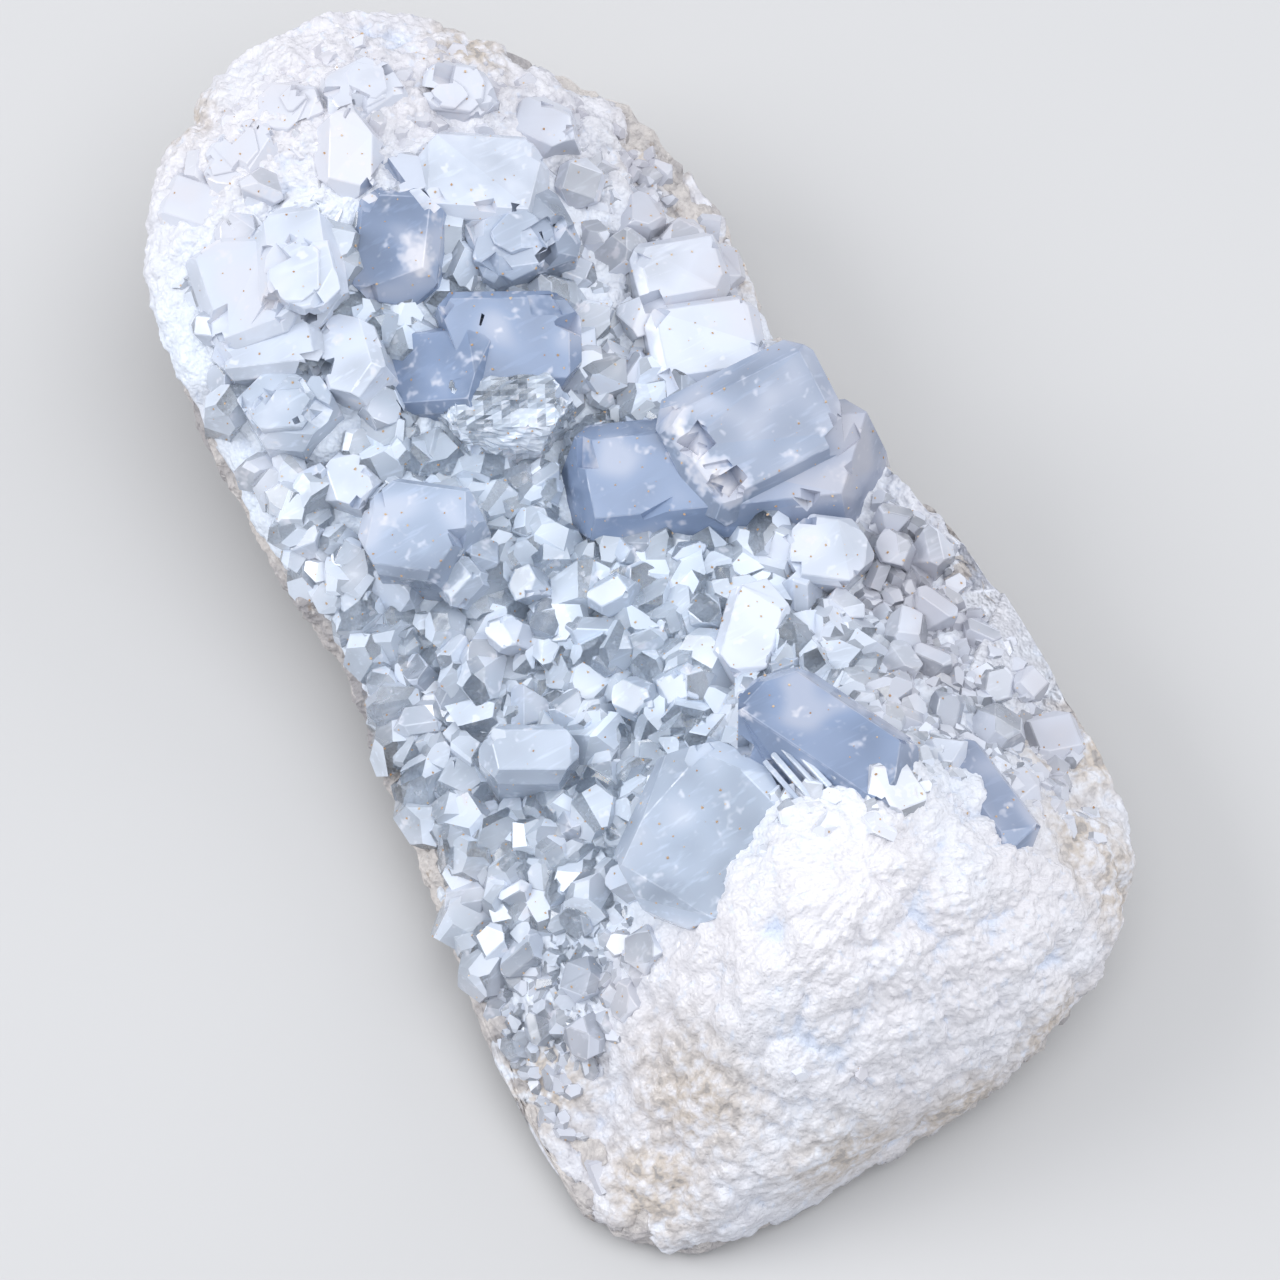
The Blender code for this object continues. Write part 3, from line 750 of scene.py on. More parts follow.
@dataclass(frozen=True)
class Crystal:
    """One flat, blocky crystal, given by the face that shows.

    Attributes:
        place: The middle of the face, in mm.
        length: Its length in mm.
        width: Its width in mm.
        depth: Its depth in mm.
        heading: The direction of the length seen from above, in degrees.
        climb: How the face rises along the length, in degrees.
        tilt: How the face rises to the left of the length, in degrees.
        point: The share of the length that its two pointed ends take.
        side_bevel: The share of the width that the bevels along the sides take.
        end_bevel: The share of the width that the bevels at the ends take.
        wear: How whole it is.
        white: How white it is, from 0 to 1.
        deep: How deep its blue is, from 0 to 1.
    """

    place: Triple
    length: float
    width: float
    depth: float
    heading: float
    climb: float = 0.0
    tilt: float = 0.0
    point: float = 0.35
    side_bevel: float = 0.25
    end_bevel: float = 0.25
    wear: Wear = Wear.SHARP
    white: float = 0.0
    deep: float = 0.3

    def planes(self) -> list[tuple[Vector, float]]:
        """Returns its planes as a normal and a distance, about the middle of its top face."""
        length, width, depth = self.length * MM, self.width * MM, self.depth * MM
        planes = [(Vector((0, 0, 1)), 0.0), (Vector((0, 0, -1)), depth)]
        for side in (-1, 1):
            planes.append((Vector((0, side, 0)), width / 2))
            planes.append((Vector((side, 0, 0)), length / 2))
            if self.side_bevel > 0:
                slope = side_bevel_normal(side)
                planes.append((slope, slope.y * side * (width / 2 - self.side_bevel * width / 2)))
            if self.end_bevel > 0:
                slope = end_bevel_normal(side)
                planes.append((slope, slope.x * side * (length / 2 - self.end_bevel * width / 2)))
            for other in (-1, 1):
                prism = prism_normal(side, other)
                through = Vector((side * length / 2 * (1 - self.point), other * width / 2, 0))
                planes.append((prism, prism.dot(through)))
        return planes

    def placement(self) -> Matrix:
        """Returns the matrix that puts its top face where it belongs."""
        heading, climb = math.radians(self.heading), math.radians(self.climb)
        along = Vector((math.cos(heading) * math.cos(climb), math.sin(heading) * math.cos(climb), math.sin(climb)))
        left = Vector((-math.sin(heading), math.cos(heading), 0.0))
        turned = Matrix((along, left, along.cross(left))).transposed().to_4x4()
        tilted = turned @ Matrix.Rotation(math.radians(self.tilt), 4, "X")
        return Matrix.Translation(Vector(self.place) * MM) @ tilted


# The large crystals: the middle of the face that shows, the length, width and depth, the heading, climb and tilt, and
# the shares of the pointed ends, of the bevels along the sides and of the bevels at the ends
LARGE_CRYSTALS = {
    "great_block": Crystal((17.8, 0.8, 26), 17, 13.8, 15, -3, 7, 18, 0.22, 0.30, 0.20, deep=0.85),
    "long_block": Crystal((13.6, 0, 23.4), 36, 12.6, 13, -24, 3, 13, 0.30, 0.38, deep=1),
    "steel_block": Crystal((1.5, 21.5, 25.5), 15, 10, 12, -27, -2, 17, 0.30, 0.20, deep=1),
    "steel_flank": Crystal((-5.5, 22.5, 24.5), 12, 9, 11, -35, 18, 8, 0.40, 0.20, deep=1),
    "broken_chip": Crystal((-1.6, 15.8, 24.6), 17, 9, 9, -27, 0, 10, 0.60, 0.40, wear=Wear.BROKEN, white=0.1),
    "pale_wedge": Crystal((-13, 27, 26.5), 12, 6.5, 10, 76, -4, -18, 0.60, 0.30, white=0.35),
    "stepped_right": Crystal((-13, 36.5, 30.5), 12, 9, 11, 70, 5, 0, 0.45, 0.40, wear=Wear.STEPPED, white=0.35),
    "stepped_left": Crystal((-18.5, 38, 28.5), 12.5, 10, 11, 80, 8, -12, 0.30, 0.30, white=0.4),
    "dark_top": Crystal((-3.7, 34.8, 28.5), 11.5, 9, 11, 55, 16, -9, 0.35, 0.25, deep=1),
    "pale_plate": Crystal((8, 37.5, 28.5), 13.5, 9.5, 8, -27, -10, 5, 0.40, 0.20, white=0.3),
    "square": Crystal((8.5, 31, 26.5), 10.5, 8.5, 10, -5, 0, 9, 0.20, 0.30, wear=Wear.STEPPED, deep=0.6),
    "lozenge": Crystal((-20, 25.5, 25), 12, 8.5, 9, -35, 2, 9, 0.70, 0.30, wear=Wear.STEPPED),
    "pale_left": Crystal((-19, 31.5, 26.5), 12.5, 6, 8, -25, 6, 5, 0.40, 0.30, white=0.3),
    "clear_tip": Crystal((-18, 17, 22), 9.5, 6, 8, 80, 8, -6, 0.80, 0.40, white=0.3),
    "smooth": Crystal((-14.5, 8.5, 22.5), 12.5, 10, 10, -40, 4, 7, 0.45, 0.15, deep=0.65),
    "twin": Crystal((-16, -15.5, 19), 9.5, 6, 8, -29, 0, 6, 0.40, 0.35),
    "hex_plate": Crystal((18.5, -12, 22), 9, 7, 7, -35, -4, 8, 0.55, 0.15, white=0.2),
    "pale_upright": Crystal((8, -16, 22.5), 12, 6, 9, 45, 9, 8, 0.50, 0.25, white=0.45),
    "great_pale": Crystal((-8, -34, 28), 17, 14.5, 14, 35, 17, -6, 0.45, 0.25, deep=0.4),
    "ridge": Crystal((6.2, -32.5, 32.2), 18.5, 11.5, 16, -68, 5, -5, 0.35, 0.45, deep=1),
    "blade_a": Crystal((0.2, -34.4, 31.2), 7, 0.5, 8, -84, 9, 14, 0.20, 0.20, deep=0.5),
    "blade_b": Crystal((1.2, -34.8, 31.6), 8, 0.6, 8, -84, 9, 8, 0.20, 0.20, white=0.1),
    "blade_c": Crystal((2.2, -34.6, 31.9), 7.5, 0.45, 8, -83, 9, 2, 0.20, 0.20, deep=0.5),
    "blade_d": Crystal((3.1, -35, 32.1), 7, 0.6, 8, -82, 9, -2, 0.20, 0.20, white=0.1),
    "blade_e": Crystal((4.1, -35.2, 32.2), 5.5, 0.5, 8, -81, 9, -6, 0.20, 0.20, deep=0.4),
    "long_side": Crystal((17.9, -42.6, 25.9), 13, 5, 6, -88, 6, -12, 0.25, 0.30, deep=1),
    "rim_block": Crystal((19.8, 13.8, 22), 11.5, 9.5, 8, -18, -3, 6, 0.30, 0.25, white=0.35),
    "rim_upper": Crystal((21.5, 22, 22), 9.5, 8, 7, -15, -4, 6, 0.30, 0.30, white=0.45),
    "left_knob": Crystal((-17.8, 48.3, 27.5), 8.5, 7.5, 8, -50, 2, 9, 0.35, 0.45, white=0.8),
    "left_bead": Crystal((-22, 45.6, 25), 6, 5.5, 6, -30, 10, 6, 0.40, 0.50, white=0.7),
    "far_crag_a": Crystal((-12.5, 50.5, 29.5), 9, 7.5, 8, 30, 12, -10, 0.55, 0.45, wear=Wear.STEPPED, white=0.8),
    "far_crag_b": Crystal((-6, 53, 30.5), 8, 6.5, 8, -50, 14, 12, 0.60, 0.45, wear=Wear.STEPPED, white=0.9),
    "far_crag_c": Crystal((2, 50.5, 30.5), 10, 7, 8, 15, -8, 10, 0.50, 0.40, wear=Wear.STEPPED, white=0.7),
    "far_crag_d": Crystal((10, 47.5, 28), 9, 7, 8, -40, -6, 14, 0.60, 0.40, wear=Wear.STEPPED, white=0.6),
    "far_crag_e": Crystal((-3, 44.5, 31), 9.5, 7, 8, 60, 18, 8, 0.50, 0.40, white=0.6),
    "far_crag_f": Crystal((16.5, 42, 25), 8, 6, 8, -60, 4, 12, 0.60, 0.40, white=0.6),
    "mirror_a": Crystal((-5.2, -15.7, 19.8), 5.4, 4, 6, -62, 15.8, 26.5, 0.65, 0.35, 0.3),
    "mirror_b": Crystal((-1.3, -16.9, 20), 4.6, 4.4, 6, -20, 29.2, 9.7, 0.25, 0.4, 0.4),
    "mirror_c": Crystal((-1.8, -5, 19.9), 6, 3.8, 6, -12, 30.1, 5.7, 0.6, 0.45, 0.5),
    "mirror_d": Crystal((-8.4, -0.1, 19.9), 5.6, 4.2, 6, 38, 24.8, -18.5, 0.9, 0.4, 0.3),
    "mirror_e": Crystal((-12.5, -3.3, 18.9), 4.8, 3.6, 6, -75, 9.1, 29.3, 0.7, 0.4, 0.35),
    "mirror_f": Crystal((-13.9, 3.2, 20), 4.6, 4, 6, 10, 30.2, -5.4, 0.3, 0.45, 0.4),
}


# For the corners of a convex solid: the least determinant of three planes that meet, how far over another plane a
# corner may lie, in metres, and the share of the size within which corners are one; and the angle of a flat edge
LEAST_MEETING = 1e-3
CORNER_SLACK = 1e-9
SAME_CORNER = 0.004
FLAT_EDGE = math.radians(1.0)
# How far the faces of a grain lean, and how far they stand from its middle
GRAIN_SKEW = 0.25
GRAIN_REACH = (0.32, 0.5)
# The values that each face of a crystal holds: whether it has its own looks, how white it is, how worn it is,
# which on its rounded edges is partly a painted highlight, and how deep blue it is
FACE_LOOKS = ("own", "white", "worn", "deep")


def polytope(planes: Iterable[tuple[Vector, float]]) -> bmesh.types.BMesh:
    """Builds the convex solid inside some planes.

    Args:
        planes: Each plane's normal and its distance from the origin.

    Returns:
        The closed solid, with flat faces of as many corners as they have.
    """
    planes = list(planes)
    normals = np.array([normal for normal, _ in planes])
    distances = np.array([distance for _, distance in planes])
    trios = np.array(list(itertools.combinations(range(len(planes)), 3)))
    facing = normals[trios]
    usable = np.abs(np.linalg.det(facing)) > LEAST_MEETING
    corners = np.linalg.solve(facing[usable], distances[trios][usable][..., None])[..., 0]
    inside = (corners @ normals.T <= distances + CORNER_SLACK).all(1)
    mesh = bmesh.new()
    for corner in corners[inside]:
        mesh.verts.new(corner)
    bmesh.ops.remove_doubles(mesh, verts=mesh.verts, dist=distances.max() * SAME_CORNER)
    hull = bmesh.ops.convex_hull(mesh, input=mesh.verts)
    spare = [item for item in hull["geom_interior"] + hull["geom_unused"] if isinstance(item, bmesh.types.BMVert)]
    bmesh.ops.delete(mesh, geom=spare, context="VERTS")
    bmesh.ops.dissolve_limit(mesh, angle_limit=FLAT_EDGE, verts=mesh.verts, edges=mesh.edges)
    return mesh


def random_vector(rng: random.Random, reach: float) -> Vector:
    """Draws a vector, with each part up to a reach either way."""
    return Vector([rng.uniform(-reach, reach) for _ in range(3)])


def grain(rng: random.Random) -> bmesh.types.BMesh:
    """Builds a unit-sized angular grain, by a source of chance."""
    planes = []
    for axis, side in itertools.product(range(3), (-1, 1)):
        normal = random_vector(rng, GRAIN_SKEW)
        normal[axis] = side
        planes.append((normal.normalized(), rng.uniform(*GRAIN_REACH)))
    return polytope(planes)


def look_layers(mesh: bmesh.types.BMesh) -> dict[str, bmesh.types.BMLayerItem]:
    """Adds the layers that hold each face's looks."""
    return {name: mesh.faces.layers.float.new(name) for name in FACE_LOOKS}


def flawed(mesh: bmesh.types.BMesh, size: float, strength: float) -> bmesh.types.BMesh:
    """Stores on each face how hazy the crystal is behind it, up to half of the strength either way.

    Args:
        mesh: The crystal.
        size: The distance over which it changes.
        strength: How much it changes.

    Returns:
        The crystal.
    """
    layer = mesh.faces.layers.float.new("flaw")
    for face in mesh.faces:
        face[layer] = (noise.cell(face.calc_center_median() / size) - 0.5) * strength
    return mesh


def as_object(name: str, mesh: bmesh.types.BMesh | bpy.types.Mesh) -> bpy.types.Object:
    """Puts a mesh in the scene.

    Args:
        name: The object's name.
        mesh: A mesh, or an edit mesh, which is freed.

    Returns:
        The object, at the origin.
    """
    if isinstance(mesh, bmesh.types.BMesh):
        data = bpy.data.meshes.new(name)
        mesh.to_mesh(data)
        mesh.free()
    else:
        data = mesh
    made = bpy.data.objects.new(name, data)
    bpy.context.scene.collection.objects.link(made)
    return made


def applied(piece: bpy.types.Object) -> bpy.types.Object:
    """Gives a piece the mesh that its modifiers make, and takes them off."""
    graph = bpy.context.evaluated_depsgraph_get()
    mesh = bpy.data.meshes.new_from_object(piece.evaluated_get(graph), depsgraph=graph)
    piece.modifiers.clear()
    old, piece.data = piece.data, mesh
    bpy.data.meshes.remove(old)
    mesh.name = piece.name
    return piece


def without_twins(mesh: bpy.types.Mesh) -> None:
    """Takes out faces that lie back to back on the same points, which joining solids can leave."""
    edit = bmesh.new()
    edit.from_mesh(mesh)
    found: dict[frozenset[int], list[bmesh.types.BMFace]] = {}
    for face in edit.faces:
        found.setdefault(frozenset(vert.index for vert in face.verts), []).append(face)
    twins = [face for faces in found.values() if len(faces) > 1 for face in faces]
    bmesh.ops.delete(edit, geom=twins, context="FACES")
    edit.to_mesh(mesh)
    edit.free()


def set_values(mesh: bpy.types.Mesh, name: str, values: np.ndarray, domain: str = "POINT") -> None:
    """Stores one value for each point or each face of a mesh."""
    attribute = mesh.attributes.get(name) or mesh.attributes.new(name, "FLOAT", domain)
    attribute.data.foreach_set("value", np.ascontiguousarray(values, np.float32))


def face_values(mesh: bpy.types.Mesh, name: str) -> np.ndarray:
    """Returns the value of that name that each face of a mesh holds."""
    values = np.empty(len(mesh.polygons), np.float32)
    mesh.attributes[name].data.foreach_get("value", values)
    return values


def vectors(items: bpy.types.bpy_prop_collection, name: str) -> np.ndarray:
    """Returns a vector of each of a mesh's points or faces, such as its place or its normal, one row each."""
    values = np.empty(len(items) * 3, np.float32)
    items.foreach_get(name, values)
    return values.reshape(-1, 3).astype(float)


def set_places(mesh: bpy.types.Mesh, places: np.ndarray) -> None:
    """Puts a mesh's points at new places."""
    mesh.vertices.foreach_set("co", places.astype(np.float32).ravel())


class GeometryGraph(NodeGraph):
    """A geometry node tree with named inputs, which ends in Realize Instances and Set Material.

    Attributes:
        source: The node that the inputs come from.
        values: The value of each input, by its identifier.
    """

    def __init__(self, name: str) -> None:
        """Makes the tree with its geometry socket."""
        super().__init__(bpy.data.node_groups.new(name, "GeometryNodeTree"))
        self.tree.interface.new_socket("Geometry", in_out="INPUT", socket_type="NodeSocketGeometry")
        self.tree.interface.new_socket("Geometry", in_out="OUTPUT", socket_type="NodeSocketGeometry")
        self.source = self.tree.nodes.new("NodeGroupInput")
        self.values: dict[str, object] = {}

    def geometry(self) -> Signal:
        """Returns the geometry that comes in."""
        return Signal(self, self.source.outputs["Geometry"])

    def input(self, name: str, value: object, kind: str = "NodeSocketFloat") -> Signal:
        """Adds a named input.

        Args:
            name: The input's name.
            value: The value that the modifier gives it.
            kind: The socket's type.

        Returns:
            The input.
        """
        socket = self.tree.interface.new_socket(name, in_out="INPUT", socket_type=kind)
        self.values[socket.identifier] = value
        return Signal(self, self.source.outputs[name])

    def vector(self, operation: str, **sockets: object) -> Signal:
        """Adds a Vector Math node, with its inputs as a, b and scale."""
        names = {"a": 0, "b": 1, "scale": "Scale"}
        settings = {"operation": operation}
        return self.add("ShaderNodeVectorMath", settings, {names[key]: value for key, value in sockets.items()})

    def random_vector(self, low: Triple, high: Triple, seed: int) -> Signal:
        """Returns a vector that chance draws between two others for each point."""
        sockets = {"Min": low, "Max": high, "Seed": seed}
        return self.add("FunctionNodeRandomValue", {"data_type": "FLOAT_VECTOR"}, sockets)

    def dress(self, piece: bpy.types.Object, result: Signal, material: bpy.types.Material) -> bpy.types.Object:
        """Ends the tree and turns the piece into the plain mesh that it makes.

        Args:
            piece: The piece that the tree works on.
            result: The geometry at the tree's end.
            material: The material of the result.

        Returns:
            The piece.
        """
        realized = self.add("GeometryNodeRealizeInstances", {}, {"Geometry": result})
        ended = self.add("GeometryNodeSetMaterial", {}, {"Geometry": realized, "Material": material})
        self.tree.links.new(ended.socket, self.tree.nodes.new("NodeGroupOutput").inputs[0])
        modifier = piece.modifiers.new(self.tree.name, "NODES")
        modifier.node_group = self.tree
        for identifier, value in self.values.items():
            modifier[identifier] = value
        return applied(piece)


@dataclass(frozen=True)
class Layer:
    """One layer of relief.

    Attributes:
        name: What the relief is.
        height: How far its highs stand above its lows, in metres.
        size: The size of its lumps, in metres.
        detail: How many finer layers it has.
        cells: Whether it has round grains instead of clouds.
        mask: The attribute that scales it, or none.
    """

    name: str
    height: float
    size: float
    detail: float = 2.0
    cells: bool = False
    mask: str = ""


# The relief of the rock and of the crust
ROCK_RELIEF = (
    Layer("Lump", 2.6 * MM, 8.0 * MM, 3.0, mask="rough"),
    Layer("Ledge", 2.8 * MM, 2.6 * MM, 4.0, mask="rough"),
    Layer("Grain", 0.7 * MM, 0.9 * MM, cells=True, mask="rough"),
)
CRUST_RELIEF = (
    Layer("Lump", 1.8 * MM, 4.5 * MM, cells=True, mask="sugar"),
    Layer("Knob", 2.0 * MM, 2.2 * MM, 4.0, mask="shown"),
    Layer("Grain", 0.5 * MM, 0.85 * MM, cells=True, mask="sugar"),
)


def roughen(piece: bpy.types.Object, material: bpy.types.Material, layers: Sequence[Layer]) -> bpy.types.Object:
    """Moves a piece's surface in and out along its normals, and stores by how many mm as its relief.

    Args:
        piece: The piece.
        material: Its material.
        layers: The layers of relief.

    Returns:
        The piece, as a plain mesh.
    """
    graph = GeometryGraph(f"{piece.name}_relief")
    normal = graph.add("GeometryNodeInputNormal")
    place = graph.add("GeometryNodeInputPosition")
    moved: object = 0.0
    for layer in layers:
        height = graph.input(f"{layer.name} height", layer.height)
        scale = graph.input(f"{layer.name} scale", 1.0 / layer.size)
        sockets = {"Vector": place, "Scale": scale}
        if layer.cells:
            away = graph.add("ShaderNodeTexVoronoi", {}, sockets)
            pattern = 0.5 - away * away
        else:
            pattern = graph.add("ShaderNodeTexNoise", {}, sockets | {"Detail": layer.detail}) - 0.5
        if layer.mask:
            mask = graph.add("GeometryNodeInputNamedAttribute", {"data_type": "FLOAT"}, {"Name": layer.mask})
            pattern = pattern * mask
        moved = pattern * height + moved
    offset = graph.vector("SCALE", a=normal, scale=moved)
    kept = graph.add(
        "GeometryNodeStoreNamedAttribute",
        {"data_type": "FLOAT", "domain": "POINT"},
        {"Geometry": graph.geometry(), "Name": "relief", "Value": moved * (1.0 / MM)},
    )
    result = graph.add("GeometryNodeSetPosition", {}, {"Geometry": kept, "Offset": offset})
    return graph.dress(piece, result, material)


@dataclass
class RockMatrix:
    """The host rock, which carries the celestite.

    It sinks under the celestite over a blend of height, and its relief grows over the foot's height, so that it rests
    flat.
    """

    form: BodyForm
    around: int = 420
    lower: int = 110
    upper: int = 34
    sink: float = 1.8 * MM
    blend: float = 1.2 * MM
    foot: float = 2.0 * MM

    def build(self) -> bpy.types.Object:
        """Returns the finished piece."""
        mesh = self.form.closed_mesh("matrix", self.around, self.lower, self.upper)
        places = vectors(mesh.vertices, "co")
        buried = np.clip(self.form.above_seam(places) / self.blend, 0.0, 1.0)
        places -= vectors(mesh.vertices, "normal") * (buried * self.sink)[:, None]
        set_places(mesh, places)
        set_values(mesh, "rough", np.clip(places[:, 2] / self.foot, 0.0, 1.0) * (1.0 - buried))
        return roughen(as_object("matrix", mesh), RockFinish().material(), ROCK_RELIEF)


@dataclass
class Crust:
    """A stretch of the celestite that the crystals grow from, white and sugary where it is massive.

    Attributes:
        name: The piece's name.
        form: The whole body.
        middle: The x and y of its middle, in metres.
        limit: How far it reaches from there, in metres, where the body's girdle doesn't end it first.
        around: How many points a ring has.
        rings: How many rings it has.
        lift: How far it stands over the body's top, in metres.
        sink: How far it lies under the body's top where it ends, in metres.
        blend: Over what height above the rock's end it comes up, in metres.
        border: The share of its reach over which it sinks where another stretch goes on.
        girdle_blend: Over what distance its end passes from the girdle to such a border, in metres.
        keel: How far its closing point lies under its middle, in metres.
    """

    name: str
    form: BodyForm
    middle: tuple[float, float]
    limit: float
    around: int
    rings: int
    lift: float
    sink: float = 2.2 * MM
    blend: float = 0.9 * MM
    border: float = 0.16
    girdle_blend: float = 8.0 * MM
    keel: float = 14.0 * MM

    def _reach(self, angles: np.ndarray) -> tuple[np.ndarray, np.ndarray]:
        """Measures how far the stretch goes in each direction.

        Args:
            angles: Directions from its middle, in radians.

        Returns:
            The reach in each direction, and from 0 to 1 how surely the girdle ends it there.
        """
        turns = np.linspace(-math.pi, math.pi, GIRDLE_STEPS, endpoint=False)
        reach = self.form.girdle(turns)[0]
        x, y = reach * np.cos(turns) - self.middle[0], reach * np.sin(turns) - self.middle[1]
        seen = np.arctan2(y, x)
        order = np.argsort(seen)
        far = np.interp(angles, seen[order], np.hypot(x, y)[order], period=math.tau)
        return np.minimum(far, self.limit), eased(np.clip((self.limit - far) / self.girdle_blend, 0.0, 1.0))

    def _faces(self) -> list[tuple[int, ...]]:
        """Returns the faces of its upper side, as rings about the last point."""
        last = self.rings * self.around
        faces = []
        for step in range(self.around):
            after = (step + 1) % self.around
            faces.append((last, step, after))
            for row in range(self.rings - 1):
                low, high = row * self.around, (row + 1) * self.around
                faces.append((low + step, high + step, high + after, low + after))
        return faces

    def build(self, finish: CrustFinish) -> bpy.types.Object:
        """Returns the finished piece, in this finish."""
        angles = np.linspace(-math.pi, math.pi, self.around, endpoint=False)
        reach, ends = self._reach(angles)
        steps = (np.arange(1, self.rings + 1) / self.rings)[:, None]
        shares = np.sin(0.5 * math.pi * steps) ** 0.9 * np.ones(self.around)[None, :]
        x = self.middle[0] + shares * (reach * np.cos(angles))[None, :]
        y = self.middle[1] + shares * (reach * np.sin(angles))[None, :]
        x, y = np.append(x.ravel(), self.middle[0]), np.append(y.ravel(), self.middle[1])
        top = self.form.top(x, y)[0]
        places = np.stack([x, y, top], 1)
        shown = np.clip(self.form.above_seam(places) / self.blend + 0.6, 0.0, 1.0)
        inner = np.clip((shares - 1.0 + self.border) / self.border, 0.0, 1.0) * (1.0 - ends)[None, :]
        shown = eased(shown * (1.0 - np.append(inner.ravel(), 0.0)))
        faces = self._faces()
        mesh = bpy.data.meshes.new(self.name)
        mesh.from_pydata(places.tolist(), [], faces)
        inward = self.lift - (1.0 - shown) * (self.sink + self.lift)
        places += vectors(mesh.vertices, "normal") * inward[:, None]
        last, rim = len(places) - 1, (self.rings - 1) * self.around
        faces += [(last + 1, rim + (step + 1) % self.around, rim + step) for step in range(self.around)]
        keel = np.array([[self.middle[0], self.middle[1], top[last] - self.keel]])
        places, shown = np.concatenate([places, keel]), np.append(shown, 0.0)
        mesh.clear_geometry()
        mesh.from_pydata(places.tolist(), [], faces)
        white = self.form.white.share(places)
        set_values(mesh, "white", white)
        set_values(mesh, "shade", self.form.shade.share(places))
        set_values(mesh, "sugar", shown * (0.3 + 0.7 * white))
        set_values(mesh, "shown", shown)
        set_values(mesh, "stain", np.max([spot.share(places) for spot in STAINS], axis=0))
        mesh.shade_smooth()
        return roughen(as_object(self.name, mesh), finish.material(), CRUST_RELIEF)


